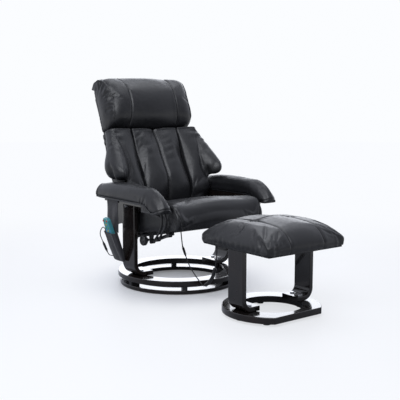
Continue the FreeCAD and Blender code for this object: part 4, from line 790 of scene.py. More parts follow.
@finish_of("Black lining")
def lining_cloth(lay, shader, place):
    """Black spun lining that is stapled over the boards."""
    fibres = lay.noise(place, 700.0, 5.0, 0.7, 0.8)
    coat(lay, shader, lay.blend(fibres, (0.008, 0.008, 0.009, 1), (0.024, 0.024, 0.026, 1)),
         lay.spread(fibres, 0.72, 0.9), lay.bump(fibres, 0.3, 0.0004))


@finish_of("Pressed felt")
def floor_felt(lay, shader, place):
    """Dark grey pressed felt under the rings."""
    fibres = lay.noise(place, 900.0, 6.0, 0.75, 1.0)
    coat(lay, shader, lay.blend(fibres, (0.02, 0.02, 0.022, 1), (0.075, 0.075, 0.08, 1)),
         lay.spread(fibres, 0.85, 1.0), lay.bump(fibres, 0.5, 0.0006), Sheen_Weight=0.4)


@finish_of("Remote case")
def remote_case(lay, shader, place):
    """Case of the remote: a printed face, green-blue at the top and blue lower down, on a darker case."""
    settings = bpy.context.scene.chair_finish
    cos, sin = math.cos(POUCH_LEAN), math.sin(POUCH_LEAN)
    shifted = lay.vector("SUBTRACT", place, tuple(POUCH_FOOT)).outputs[0]
    up = lay.vector("DOT_PRODUCT", shifted, (-sin, 0.0, cos)).outputs["Value"]
    out = lay.vector("DOT_PRODUCT", shifted, (-cos, 0.0, -sin)).outputs["Value"]
    edge = lay.sum("ABSOLUTE", lay.add("ShaderNodeSeparateXYZ", {0: shifted}).outputs["Y"], 0.0)
    face = lay.sum("MULTIPLY", lay.between(out, 0.0092, 0.0096), lay.between(edge, 0.0225, 0.0215))
    fade = lay.between(up, 0.155, 0.222)
    clouds = lay.noise(place, 70.0, 3.0, 0.5)
    shift = lay.sum("ADD", fade, lay.sum("MULTIPLY", lay.sum("SUBTRACT", clouds, 0.5), 0.3), True)
    print_colour = lay.blend(shift, (*settings.remote_foot, 1), (*settings.remote_top, 1))
    case = lay.blend(clouds, (0.045, 0.22, 0.26, 1), (0.06, 0.27, 0.31, 1))
    grain = placed(lay, fine_texture(), place, Grains_per_metre=1500.0)
    coat(lay, shader, lay.blend(face, case, print_colour), lay.spread(clouds, 0.34, 0.46),
         lay.bump(grain["Height"], 0.12, 0.0002))


def key_rubber(name, colour):
    """Coloured rubber of the keys, darker in its handled patches."""
    return moulded(name, colour, tuple(0.75 * value for value in colour), 0.48, 1500.0, 0.15)


def black_plastic():
    """Black moulded plastic of the guide blocks, knob, control box, footstool socket and connectors."""
    settings = bpy.context.scene.chair_finish
    return moulded("Black plastic", tuple(settings.plastic), (0.022, 0.022, 0.024), 0.40)


def lead_jacket():
    """Soft black jacket of the leads."""
    return moulded("Lead jacket", (0.010, 0.010, 0.011), (0.018, 0.018, 0.019), 0.42, 700.0, 0.12)


def dressed(piece, material, body=None, replaces=()):
    """Give a piece its only material, and say what it moves with and what it stands for."""
    piece.data.materials.clear()
    piece.data.materials.append(material)
    if body:
        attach(piece, body)
    if replaces:
        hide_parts(*replaces)


# Padded covers

def upholstered(piece, body, node):
    """Give a padded cover its finish, its body and the solid that it stands for."""
    dressed(piece, leatherette(), body, [node])


def edge_cord(name, guide, target):
    """Sewn edge cord: the guide line is drawn onto the cover's surface and evened, and becomes a thin tube
    that stands half out of the surface."""
    radius = bpy.context.scene.chair_upholstery.piping
    mesh = bpy.data.meshes.new(name)
    mesh.from_pydata(guide.tolist(), [(index, index + 1) for index in range(len(guide) - 1)], [])
    carrier = link(name, mesh)
    modifier(carrier, "SHRINKWRAP", target=target, wrap_method="NEAREST_SURFACEPOINT",
             wrap_mode="ABOVE_SURFACE", offset=radius * 0.45)
    modifier(carrier, "SMOOTH", factor=0.5, iterations=3)
    applied(carrier)
    line = evenly(places(carrier.data), 0.004)
    removed(carrier)
    share = np.linspace(0, 1, len(line))
    taper = np.clip(np.minimum(share, 1 - share) * 18, 0.35, 1)
    return tube(name, line, radius * taper, (1, 0, 0), 10)


class CHAIR_OT_back_cushion(bpy.types.Operator):
    """Add the middle of the back: two filled channels either side of a sewn valley"""
    bl_idname = "chair.back_cushion"
    bl_label = "Back cushion"

    def execute(self, context):
        def held(points, normals):
            _, up, out = on_back(points)
            return (out < 0.060) | (up > 0.430)

        def cap(points, normals):
            across, up, _ = on_back(points)
            return 0.007 + 0.003 * band(across, -0.118, 0.118, 0.008) * band(up, 0.02, 0.415, 0.012)

        def middle(points):
            across, up, _ = on_back(points)
            return across + 0.0012 * np.sin(up * 31)

        def height(points, normals):
            across, up, out = on_back(points)
            total = groove(middle(points), 0.0056, 0.0080)
            left, right = across - 0.068, across + 0.070
            for channel, level, slope, shift, centre, *fold in (
                    (right, 0.402, 0.55, 0.03, 0.035, 0.040, 0.0020, 0.0100, 0.006),
                    (right, 0.345, 0.16, 0.0, 0.0, 0.066, 0.0012, 0.0120, 0.005),
                    (right, 0.296, 0.12, 0.0, 0.012, 0.060, 0.0009, 0.0120, 0.004),
                    (left, 0.376, 0.10, 0.0, 0.026, 0.040, 0.0008, 0.0110, 0.004),
                    (left, 0.350, 0.16, 0.0, 0.004, 0.058, 0.0010, 0.0110, 0.005),
                    (left, 0.316, 0.30, 0.0, 0.016, 0.060, 0.0011, 0.0110, 0.009),
                    (left, 0.268, 0.22, 0.0, 0.014, 0.056, 0.0009, 0.0120, 0.004)):
                total += crease(up - level - slope * (channel + shift), channel + centre, *fold)
            total += 0.0005 * slack_cover(points, 0.11, 11)
            return band(out, 0.085, 1.0, 0.006) * total

        piece = padded_cover("back_pad", "back_cushion", cap, held)
        shaped(piece, height)
        sewn(piece, middle)
        upholstered(piece, "back", "back_cushion")
        return {"FINISHED"}


class CHAIR_OT_wings(bpy.types.Operator):
    """Add the side bolsters, with the pleats that their edge seam draws in"""
    bl_idname = "chair.wings"
    bl_label = "Wings"

    def execute(self, context):
        lobe_foot = 0.514

        def held(points, normals):
            across, up, out = on_back(points)
            return (out < 0.050) | (up > 0.432) | ((across < 0.142) & (out < 0.125))

        def cap(points, normals):
            across, up, _ = on_back(points)
            lobe = band(points[:, 2], 0.560, 2.0, 0.014)
            free = band(across, 0.150, 1.0, 0.006) * band(up, -1.0, 0.415, 0.010)
            return 0.004 + 0.009 * free * lobe + 0.003 * free * (1 - lobe) * (normals[:, 1] < -0.3)

        def height(points, normals):
            across, up, out = on_back(points)
            level = points[:, 2]
            front = band(out, 0.075, 1.0, 0.006)
            total = 0.0007 * slack_cover(points, 0.15, 5) * front
            edge = np.interp(up, (0.20, 0.235, 0.27, 0.31, 0.36, 0.41, 0.45),
                             (0.306, 0.322, 0.322, 0.310, 0.286, 0.262, 0.246))
            inward = edge - across
            spots = ((0.406, 0.0030, 0.050, 0.0088), (0.378, 0.0040, 0.062, 0.0096),
                     (0.348, 0.0026, 0.050, 0.0094))
            total += band(out, 0.035, 1.0, 0.008) * gathers(up + 0.12 * inward, inward, spots, 4)
            above = level - lobe_foot
            notch = np.exp(-((across - 0.236) / 0.011) ** 2) * np.exp(-np.clip(above, 0, None) / 0.050)
            total += -0.010 * front * notch * band(above, -0.004, 0.2, 0.006)
            for line, along, *fold in (
                    (across - 0.262 - 0.50 * (above - 0.045), above - 0.045, 0.050, 0.0014, 0.0110, 0.010),
                    (across - 0.214 + 0.15 * (above - 0.05), above - 0.055, 0.060, 0.0011, 0.0120, -0.006),
                    (level - 0.640 - 0.30 * (across - 0.24), across - 0.245, 0.050, 0.0008, 0.0120, 0.006),
                    (level - 0.420, across - 0.200, 0.055, 0.0020, 0.0110, 0.006)):
                total += front * crease(line, along, *fold)
            return total

        left = padded_cover("wing_pad_left", "wing_left", cap, held)
        shaped(left, height)
        right = mirrored("wing_pad_right", left)
        for piece, node in ((left, "wing_left"), (right, "wing_right")):
            upholstered(piece, "back", node)
        return {"FINISHED"}


class CHAIR_OT_head_pillow(bpy.types.Operator):
    """Add the head pillow: rolled over the top, two sewn seams, gathered into piping at both sides"""
    bl_idname = "chair.head_pillow"
    bl_label = "Head pillow"

    def execute(self, context):
        roll_up, roll_out = 0.56, 0.035

        def held(points, normals):
            _, up, out = on_back(points)
            return (out < 0.045) & (up < 0.665) | (up < 0.446) & (normals[:, 2] < -0.8) & (out < 0.09)

        def cap(points, normals):
            across, up, _ = on_back(points)
            return 0.004 + 0.009 * band(np.abs(across), -1.0, 0.246, 0.008) * band(up, 0.452, 2.0, 0.006)

        def panels(points):
            across, up, _ = on_back(points)
            return np.abs(across) - 0.1445 + 0.010 * np.sin(np.clip((up - 0.45) / 0.27, 0, 1) * math.pi)

        def form(points):
            across, up, out = on_back(points)
            tucked = np.clip((0.512 - up) / 0.066, 0, 1) ** 2 * np.clip((out - 0.075) / 0.03, 0, 1)
            return from_back(across, up, out - 0.024 * tucked)

        def height(points, normals):
            across, up, out = on_back(points)
            inward = 0.2575 - np.abs(across)
            turn = np.arctan2(up - roll_up, out - roll_out)
            along = turn * 0.125
            total = groove(panels(points), 0.0052, 0.0046) * band(turn, -0.9, 2.6, 0.05)
            spots = row_of(-0.080, 0.076, 0.0215, 0.0028, 0.022, 0.0068, 31)
            spots += [(0.104, 0.0046, 0.044, 0.0088), (0.134, 0.0056, 0.054, 0.0096),
                      (0.164, 0.0030, 0.036, 0.0090)]
            mild = row_of(-0.080, 0.16, 0.032, 0.0018, 0.022, 0.0070, 33)
            total += np.where(across < 0, gathers(along, inward - 0.003, spots, 7),
                              gathers(along, inward - 0.003, mild, 8))
            total += groove(inward - 0.0045, 0.0020, 0.0056)
            total += 0.0007 * slack_cover(points, 0.17, 3)
            shown = np.where(up > 0.66, 1.0, band(out, 0.03, 1.0, 0.006))
            return shown * total * band(up, 0.444, 2.0, 0.003)

        piece = padded_cover("head_pad", "head_pillow", cap, held, form=form)
        shaped(piece, height)
        sewn(piece, panels)
        upholstered(piece, "back", "head_pillow")
        turn = np.linspace(-0.72, 2.45, 70)
        for name, side in SIDES:
            guide = from_back(np.full_like(turn, 0.262 * side), roll_up + 0.17 * np.sin(turn),
                              roll_out + 0.17 * np.cos(turn))
            cord = edge_cord(f"pillow_piping_{name}", guide, piece)
            dressed(cord, piping_cloth(), "back")
        return {"FINISHED"}


class CHAIR_OT_seat_cushion(bpy.types.Operator):
    """Add the seat: a thick crowned cushion with a tall sewn front panel"""
    bl_idname = "chair.seat_cushion"
    bl_label = "Seat cushion"

    def execute(self, context):
        def held(points, normals):
            inside = (np.abs(points[:, 0]) < 0.2395) & (points[:, 1] > -0.281) & (points[:, 2] < 0.392)
            return inside | (normals[:, 2] < -0.6) | (points[:, 1] > 0.045)

        def cap(points, normals):
            top = band(points[:, 2], 0.425, 1.0, 0.006) * band(np.abs(points[:, 0]), -1.0, 0.235, 0.008)
            front = band(points[:, 1], -1.0, -0.335, 0.006)
            return 0.004 + 0.004 * top * (points[:, 1] < -0.16) + 0.009 * front

        def side_panel(points):
            drop = np.clip((0.437 - points[:, 2]) / 0.150, 0, 1) * (points[:, 1] < -0.318)
            return np.abs(points[:, 0]) - 0.247 + 0.052 * drop ** 1.4

        def height(points, normals):
            x, y, z = points.T
            outside = (np.abs(x) > 0.2405) | (y < -0.283) | (z > 0.394)
            front = band(y, -1.0, -0.318, 0.006)
            total = front * groove(side_panel(points), 0.0040, 0.0046)
            side_seam = z - 0.374 - 0.10 * (y + 0.3)
            total += groove(side_seam, 0.0030, 0.0046) * band(np.abs(x), 0.252, 1.0, 0.0015)
            total += 0.0007 * slack_cover(points, 0.20, 17)
            for where, line, along, *fold in (
                    (front, z - 0.345, x + 0.205, 0.035, 0.0014, 0.0100, 0.006),
                    (front, z - 0.318, x - 0.200, 0.035, 0.0014, 0.0100, 0.006),
                    (front, z - 0.392 + 0.12 * x, x - 0.02, 0.16, 0.0007, 0.0120, 0.004),
                    (band(z, 0.39, 1.0, 0.005), y + 0.135, x, 0.17, 0.0016, 0.0130, 0.010),
                    (band(z, 0.40, 1.0, 0.005), y + 0.235, x - 0.02, 0.19, 0.0010, 0.0140, -0.010)):
                total += where * crease(line, along, *fold)
            return outside * total

        piece = padded_cover("seat_pad", "seat_cushion", cap, held)
        shaped(piece, height)
        sewn(piece, side_panel)
        upholstered(piece, "chair", "seat_cushion")
        return {"FINISHED"}


class CHAIR_OT_arm_pads(bpy.types.Operator):
    """Add the arm pads: rounded on top, drooping noses, pleated at the outer bend"""
    bl_idname = "chair.arm_pads"
    bl_label = "Arm pads"

    def execute(self, context):
        low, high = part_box("arm_pad_left")

        def over_foot(y, stations, rises):
            return np.interp(y, stations, low[2] + np.array(rises))

        def held(points, normals):
            return (normals[:, 2] < -0.7) | (points[:, 1] > high[1] - 0.020)

        def cap(points, normals):
            outer = band(points[:, 0], low[0] + 0.035, 1.0, 0.008)
            return 0.004 + 0.007 * outer * band(points[:, 1], -1.0, 0.05, 0.02)

        def form(points):
            x, y, z = points.T
            middle = (low[0] + high[0]) / 2
            crest = np.interp(y, (-0.345, -0.32, -0.28, -0.22, -0.10, 0.21),
                              (-0.100, -0.068, -0.035, -0.012, 0.0, 0.0))
            rise = np.clip((z - (high[2] + crest - 0.052)) / 0.052, 0, 1)
            narrow = np.sqrt(1 - 0.62 * rise ** 2.2)
            sink = 0.010 * rise * np.abs((x - middle) / (middle - low[0])) ** 2.5
            return np.stack((middle + (x - middle) * narrow, y, z - sink), axis=1)

        def height(points, normals):
            x, y, z = points.T
            edge = over_foot(y, (-0.345, -0.30, -0.27, -0.235, -0.20, 0.21),
                             (0.020, 0.002, 0.0, 0.028, 0.033, 0.033))
            inward = z - edge
            spots = ((-0.248, 0.0018, 0.018, 0.0050), (-0.230, 0.0034, 0.026, 0.0054),
                     (-0.210, 0.0038, 0.030, 0.0056), (-0.190, 0.0030, 0.026, 0.0054))
            total = band(x, high[0] - 0.030, 1.0, 0.006) * gathers(y + 0.35 * inward, inward, spots, 12)
            spots = row_of(-0.262, -0.150, 0.026, 0.0018, 0.020, 0.0056, 41)
            total += band(x, -1.0, low[0] + 0.020, 0.006) * gathers(y + 0.3 * inward, inward, spots, 13)
            total += groove(inward - 0.0055, 0.0024, 0.0034) * band(z, low[2] + 0.001, 2.0, 0.001)
            total += 0.0005 * slack_cover(points, 0.15, 19)
            return total * (normals[:, 2] > -0.7)

        left = padded_cover("arm_cover_left", "arm_pad_left", cap, held, 0.0045, form)
        shaped(left, height)
        right = mirrored("arm_cover_right", left)
        for piece, node in ((left, "arm_pad_left"), (right, "arm_pad_right")):
            upholstered(piece, "chair", node)
        depth = np.linspace(0.195, -0.330, 90)
        level = over_foot(depth, (-0.345, -0.31, -0.275, -0.235, -0.20, 0.21),
                          (0.020, 0.004, 0.002, 0.030, 0.035, 0.035))
        guide = np.stack((np.full_like(depth, high[0] + 0.004), depth, level), axis=1)
        cord = edge_cord("arm_piping_left", guide, left)
        other = mirrored("arm_piping_right", cord)
        for piece in (cord, other):
            dressed(piece, piping_cloth(), "chair")
        return {"FINISHED"}


class CHAIR_OT_stool_cushion(bpy.types.Operator):
    """Add the footstool's cushion: two seams from back to front, two tufts, pleated sides and corners"""
    bl_idname = "chair.stool_cushion"
    bl_label = "Footstool cushion"

    def execute(self, context):
        low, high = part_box("stool_cushion")
        seam, tuft_row, side_start = 0.092, 0.010, 0.185

        def local(points):
            return points - np.array((STOOL[0], STOOL[1], low[2]))

        def held(points, normals):
            x, y, z = local(points).T
            inside = (np.abs(x) < 0.2055) & (np.abs(y) < 0.2055) & (z < 0.024)
            return inside | (normals[:, 2] < -0.6) & (z < 0.05)

        def cap(points, normals):
            return 0.004 + 0.008 * band(local(points)[:, 2], 0.030, 1.0, 0.010)

        def form(points):
            x, y, z = local(points).T
            reach, waist, crest = 0.2206, 0.036, high[2] - low[2]
            above = np.clip((z - waist) / (crest - waist), 0, 1)
            edge = (np.abs(x / reach) ** 4 + np.abs(y / reach) ** 4) ** 0.25
            drawn = 0.034 * (1 - np.sqrt(1 - 0.96 * above ** 2)) + 0.030 * above * np.clip(edge - 1, 0, 1)
            tucked = 0.010 * np.clip((waist - z) / waist, 0, 1) ** 2 * band(edge, 0.965, 9.0, 0.008)
            share = 1 - (drawn + tucked) / reach
            crown = above * (0.009 - 0.021 * np.clip(edge, 0, 1.12) ** 5)
            return np.stack((x * share, y * share, z + crown), axis=1) + points - local(points)

        def lines(points):
            return np.abs(local(points)[:, 0]) - seam

        def cross_line(points):
            x, y, z = local(points).T
            past = np.clip(np.abs(x) - seam, 0, None)
            return np.where(z > 0.060, np.hypot(y - tuft_row, past) * np.sign(y - tuft_row), SEAM_REACH)

        def tufted(x, y, z, side):
            """Heights of one seam and its tuft: a valley, a dimple and folds that run into the dimple."""
            top = band(z, 0.062, 1.0, 0.006)
            off = x - side * seam
            gap = np.hypot(off, y - tuft_row)
            pull = 1 + 1.1 * np.exp(-(gap / 0.045) ** 2)
            fades = band(y, -1.0, 0.30, 0.01)
            angle = np.arctan2(y - tuft_row, off)
            rays = np.cos(angle * 5 + 0.7 * side) * 0.6 + np.cos(angle * 8 + 1.9) * 0.4
            return (groove(off, 0.0036, 0.0048) * pull * fades * band(z, 0.028, 1.0, 0.004),
                    -0.0115 * np.exp(-(gap / 0.017) ** 2) * top,
                    0.0016 * rays * np.exp(-((gap - 0.028) / 0.020) ** 2) * top)

        def height(points, normals):
            x, y, z = local(points).T
            shown = (z > 0.026) | (np.maximum(np.abs(x), np.abs(y)) > 0.207)
            total = np.zeros(len(points))
            for side in (-1, 1):
                for part in tufted(x, y, z, side):
                    total += part
            between = band(x, -seam, seam, 0.006)
            total += groove(y - tuft_row, 0.0040, 0.0048) * between * band(z, 0.062, 1.0, 0.006)
            for outer, along, spots, seed in (
                    (-x, y, row_of(-side_start, side_start, 0.026, 0.0024, 0.026, 0.0066, 51), 14),
                    (x, y, row_of(-side_start, side_start, 0.038, 0.0012, 0.022, 0.0070, 52), 15),
                    (np.abs(y), x, row_of(-side_start, side_start, 0.052, 0.0006, 0.018, 0.0070, 53), 16)):
                total += band(outer, side_start, 1.0, 0.006) * gathers(along, z - 0.010, spots, seed)
            for corner_x in (-1, 1):
                for corner_y in (-1, 1):
                    u, v = x - 0.160 * corner_x, y - 0.160 * corner_y
                    angle = np.arctan2(v * corner_y, u * corner_x)
                    fan = 0.0026 * np.cos(angle * 9 + corner_x + 2 * corner_y) * band(z, -1.0, 0.052, 0.010)
                    total += fan * band(np.hypot(u, v), 0.020, 0.070, 0.008) * band(angle, 0.0, 1.57, 0.10)
            total += 0.0008 * slack_cover(points, 0.16, 23)
            return shown * total

        piece = padded_cover("stool_pad", "stool_cushion", cap, held, 0.0055, form)
        shaped(piece, height)
        sewn(piece, lines, cross_line)
        upholstered(piece, "stand", "stool_cushion")
        return {"FINISHED"}


# Pouch and leads

def thickened(piece, thickness, offset):
    """Give a sheet a thickness: inwards where the offset is -1, half to each side where it is 0."""
    modifier(piece, "SOLIDIFY", thickness=thickness, offset=offset)
    return applied(piece)


def pouch_bag():
    """Open bag: at each height a rounded oblong, cos and sin to the power 0.42 times half its depth and
    width, drawn in at the foot, with folds on its outer side, a hem line and a fuller rim."""
    around = np.linspace(0, 2 * math.pi, 120, endpoint=False)
    heights = np.concatenate(((0.0, 0.0, 0.0005, 0.002, 0.005), np.linspace(0.010, POUCH_HEIGHT, 58)))
    draw = np.concatenate(((0.05, 0.55, 0.86, 0.95, 0.99), np.ones(58)))
    half_width = np.interp(heights, (0, 0.064, POUCH_HEIGHT), (0.0465, 0.0495, 0.0495)) * draw
    half_depth = np.interp(heights, (0, 0.064, POUCH_HEIGHT), (0.0064, 0.0120, 0.0130)) * draw
    cos, sin = (np.sign(part) * np.abs(part) ** 0.42 for part in (np.cos(around), np.sin(around)))
    deep = half_depth[:, None] * cos[None, :]
    wide = half_width[:, None] * sin[None, :]
    tall = np.broadcast_to(heights[:, None], deep.shape).copy()
    share = np.clip(tall / POUCH_HEIGHT, 0, 1)
    outer = np.clip(-cos, 0, 1)[None, :]
    folds = 0.0016 * np.sin(wide * 205 + 1.1) * share ** 1.5 + 0.0011 * np.sin(wide * 118 - 9 * tall + 0.4)
    slanting = wide + 0.012 - 0.10 * (POUCH_HEIGHT - tall)
    folds += 0.0022 * np.exp(-(slanting / 0.007) ** 2) * band(tall, 0.02, 0.15, 0.01)
    deep = deep - outer * folds * band(tall, 0.004, 0.151, 0.004)
    deep = deep - 0.0009 * np.sign(deep) * np.exp(-((tall - 0.139) / 0.0012) ** 2)
    deep = deep + 0.0008 * np.sign(deep) * band(tall, 0.1395, 0.2, 0.0008)
    bag = surface("pouch_bag", from_pouch(np.stack((deep, wide, tall), axis=-1)), around=True)
    return thickened(turned_out(bag), 0.0016, -1)


def pouch_strap():
    """Flat strap from the pouch's mouth up to the arm board, with long shallow waves across its depth."""
    mouth = from_pouch(np.array((0.0118, 0.0, 0.149)))
    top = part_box("remote_pouch")[1][2] - 0.0005
    share = np.linspace(0, 1, 70)[:, None]
    across = np.linspace(-1, 1, 34)[None, :]
    drop = mouth[2] + (top - mouth[2]) * share
    side = 0.063 + 0.0500 * across * (1 - 0.05 * np.sin(share * math.pi))
    wave = 0.0011 * np.sin(across * 5.1 + 2.0 * share) * np.sin(share * math.pi)
    wave = wave + 0.0008 * np.sin(share * 9 + across)
    depth = np.broadcast_to(mouth[0] + 0.0014 + wave * np.sin(share * math.pi), side.shape)
    strap = surface("pouch_strap", np.stack((depth, side, np.broadcast_to(drop, side.shape)), axis=-1))
    return thickened(strap, 0.0022, 0)


class CHAIR_OT_pouch(bpy.types.Operator):
    """Add the cloth pouch for the remote and the strap that it hangs from"""
    bl_idname = "chair.pouch"
    bl_label = "Pouch"

    def execute(self, context):
        piece = joined("pouch", [pouch_bag(), pouch_strap()])
        dressed(piece, pouch_cloth(), "chair", ["remote_pouch"])
        return {"FINISHED"}


REMOTE_UPPER = [tuple(from_pouch(np.array(point))) for point in (
    (0, 0, 0.087), (0, 0, 0.063), (0, 0.010, 0.044), (0, 0.030, 0.044), (0, 0.040, 0.063), (0, 0.041, 0.095),
    (0, 0.0415, 0.125), (0, 0.043, 0.155))] + [
    (-0.356, 0.119, 0.293), (-0.354, 0.139, 0.286), (-0.351, 0.158, 0.270), (-0.348, 0.170, 0.250),
    (-0.3426, 0.1676, 0.2312), (-0.337, 0.163, 0.214)]
REMOTE_LOWER = [
    (-0.320, 0.149, 0.162), (-0.3154, 0.1452, 0.148), (-0.304, 0.132, 0.143), (-0.293, 0.118, 0.149),
    (-0.281, 0.103, 0.162), (-0.268, 0.090, 0.180), (-0.250, 0.078, 0.200), (-0.230, 0.066, 0.222),
    (-0.212, 0.052, 0.244), (-0.196, 0.036, 0.262), (-0.180, 0.020, 0.275), (-0.163, -0.002, 0.284),
    (-0.149, -0.024, 0.297), (-0.1415, -0.042, 0.311), (-0.140, -0.0599, 0.3155)]
LINK_UPPER = [
    (-0.075, -0.1214, 0.2965), (-0.0755, -0.125, 0.272), (-0.0785, -0.134, 0.240), (-0.085, -0.150, 0.209)]
LINK_LOWER = [
    (-0.091, -0.185, 0.166), (-0.0946, -0.206, 0.1402), (-0.099, -0.236, 0.116), (-0.100, -0.270, 0.091),
    (-0.098, -0.304, 0.066), (-0.098, -0.330, 0.051), (-0.104, -0.352, 0.060), (-0.107, -0.386, 0.082),
    (-0.113, -0.422, 0.118), (-0.125, -0.448, 0.160), (-0.136, -0.468, 0.188), (-0.149, -0.489, 0.216),
    (-0.162, -0.507, 0.245), (-0.172, -0.520, 0.266), (-0.175, -0.524, 0.283)]
REMOTE_PLUG = (REMOTE_UPPER[-1], REMOTE_LOWER[0])
LINK_PLUG = (LINK_UPPER[-1], LINK_LOWER[0])
SLEEVE_START = np.array(LINK_LOWER[6])
SLEEVE_END = np.array(LINK_LOWER[9])


def lead_curve(name, points, radius):
    """Lead as one smooth curve through its route, with a round section."""
    lead = route(name, points, 10)
    lead.data.bevel_depth = radius
    lead.data.bevel_resolution = 4
    lead.data.use_fill_caps = True
    return lead


def connector(name, ends, radius, ribs):
    """In-line connector turned about the line between its ends: a narrow collar at each end, a body between
    them, and ribs where it is gripped."""
    share = np.linspace(0, 1, 70)
    line = np.array(ends[0]) + share[:, None] * (np.array(ends[1]) - np.array(ends[0]))
    body = band(share, 0.17, 0.83, 0.012)
    ridges = 0.5 - 0.5 * np.cos(share * 2 * math.pi * ribs)
    radii = radius * (0.62 + 0.38 * body - 0.07 * ridges * band(share, 0.55, 0.80, 0.02))
    radii = radii * np.clip(np.sqrt(np.clip(np.minimum(share, 1 - share) * 40, 0, 1)), 0.6, 1)
    return tube(name, line, radii, (1, 0.2, 0), 24)


def strain_relief(name, points, reach, wide, slim):
    """Tapered sleeve over the first stretch of a lead, ringed so that it bends."""
    line = evenly(line_of(points), 0.0008)
    runs = np.linspace(0, np.linalg.norm(np.diff(line, axis=0), axis=1).sum(), len(line))
    line = line[runs <= reach]
    share = np.linspace(0, 1, len(line))
    rings = 0.5 + 0.5 * np.cos(share * 2 * math.pi * RELIEF_RINGS)
    radii = (wide + (slim - wide) * share) * (1 - 0.14 * rings * band(share, 0.15, 0.92, 0.03))
    return tube(name, line, radii, (1, 0.15, 0.1), 20)


class CHAIR_OT_leads(bpy.types.Operator):
    """Add the two leads with their connectors, sleeve and strain reliefs"""
    bl_idname = "chair.leads"
    bl_label = "Leads"

    def execute(self, context):
        settings = context.scene.chair_leads
        jacket = lead_jacket()
        plastic = black_plastic()

        plug = connector("remote_plug", REMOTE_PLUG, 0.0058, 9)
        dressed(plug, plastic, "chair", ["remote_connector"])
        foot = strain_relief("remote_relief", REMOTE_UPPER, 0.020, 0.0042, 0.0026)
        dressed(foot, jacket, "remote")
        path = line_of(REMOTE_UPPER)
        upper = tube("remote_lead_a", evenly(path, 0.0016), settings.remote_radius, (0.9455, 0.0, 0.3256),
                     settings.sides)
        dressed(upper, jacket, None, ["remote_lead_upper"])
        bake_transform(upper)

        lower = lead_curve("remote_lead_b", REMOTE_LOWER, settings.remote_radius)
        dressed(lower, jacket, "chair", ["remote_lead_lower"])
        gland = strain_relief("remote_gland_relief", REMOTE_LOWER[::-1], 0.020, 0.0042, 0.0026)
        dressed(gland, jacket, "chair")

        plug = connector("link_plug", LINK_PLUG, 0.0058, 9)
        dressed(plug, plastic, "chair", ["link_connector"])
        gland = strain_relief("link_gland_relief", LINK_UPPER, 0.022, 0.0050, 0.0031)
        dressed(gland, jacket, "chair")
        upper = lead_curve("link_lead_a", LINK_UPPER, settings.link_radius)
        dressed(upper, jacket, "chair", ["link_lead_upper"])

        path = line_of(LINK_LOWER)
        line = evenly(path, 0.0018)
        first = int(np.argmin(np.linalg.norm(line - SLEEVE_START, axis=1)))
        last = int(np.argmin(np.linalg.norm(line - SLEEVE_END, axis=1)))
        share = np.linspace(0, 1, last - first + 1)
        ends = np.sqrt(np.clip(np.minimum(share, 1 - share) * 26, 0.12, 1))
        rings = 0.5 + 0.5 * np.cos(share * 2 * math.pi * SLEEVE_RINGS)
        sleeve = tube("lead_sleeve", line[first:last + 1],
                      (settings.sleeve_radius - 0.0002) * ends * (1 - 0.035 * rings), (1, 0.05, 0), 28)
        dressed(sleeve, jacket, "stand", ["link_sleeve"])
        relief = strain_relief("stool_socket_relief", LINK_LOWER[::-1], 0.022, 0.0050, 0.0031)
        dressed(relief, jacket, "stand")
        lower = tube("link_lead_b", line, settings.link_radius, (1, 0.05, 0), settings.sides)
        dressed(lower, jacket, None, ["link_lead_middle", "link_lead_lower"])
        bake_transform(lower)
        return {"FINISHED"}


def back_shell():
    """Moulded shell behind the back."""
    return moulded("Back shell", (0.013, 0.013, 0.015), (0.021, 0.021, 0.023), 0.5, 620.0, 0.35)


def motor_case():
    """Plain plastic case of the vibration motors."""
    return moulded("Motor case", (0.05, 0.05, 0.055), (0.08, 0.08, 0.085), 0.5)


# Each finish of the frame's solids, and the solids that take it
LOOKS = (
    (lacquered_wood, "floor_ring swivel_ring leg_right leg_left side_plate_right side_plate_left "
                     "arm_board_right arm_board_left stool_ring stool_leg_right stool_leg_left"),
    (painted_steel, "track_ring arm_stay_right arm_stay_left stay_struts lock_clamp seat_frame back_frame "
                    "stool_brackets"),
    (lining_cloth, "seat_board back_board stool_board"),
    (zinc_steel, "hinge_pins leg_bolts stool_bolts track_balls"),
    (black_plastic, "lock_knob control_box remote_connector link_connector stool_socket guide_blocks"),
    (back_shell, "back_cover"),
    (motor_case, "seat_motors back_motors stool_motor"),
    (floor_felt, "glides"),
    (remote_case, "handset"),
    (leatherette, "seat_cushion back_cushion wing_right wing_left head_pillow arm_pad_right arm_pad_left "
                  "stool_cushion"),
    (pouch_cloth, "remote_pouch"),
    (lead_jacket, "remote_lead_upper remote_lead_lower link_lead_upper link_lead_middle link_sleeve "
                  "link_lead_lower"))

# Colour of each kind of key, and the buttons that have it
KEYS = {"Red key": ((0.62, 0.05, 0.05), (1, 2)), "Yellow key": ((0.72, 0.56, 0.06), (3, 6)),
        "Green key": ((0.10, 0.42, 0.13), (4, 5))}


class CHAIR_OT_hard_parts(bpy.types.Operator):
    """Give every solid of the frame its finish"""
    bl_idname = "chair.hard_parts"
    bl_label = "Hard parts"

    def execute(self, context):
        looks = {name: make() for make, names in LOOKS for name in names.split()}
        for name, (colour, numbers) in KEYS.items():
            looks.update({f"button_{number}": key_rubber(name, colour) for number in numbers})
        missing = sorted(set(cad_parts) - set(looks))
        if missing:
            raise RuntimeError(f"no finish is given for {', '.join(missing)}")
        for name, look in looks.items():
            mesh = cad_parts[name].data
            mesh.materials.clear()
            mesh.materials.append(look)
        return {"FINISHED"}


# Floor, light and camera

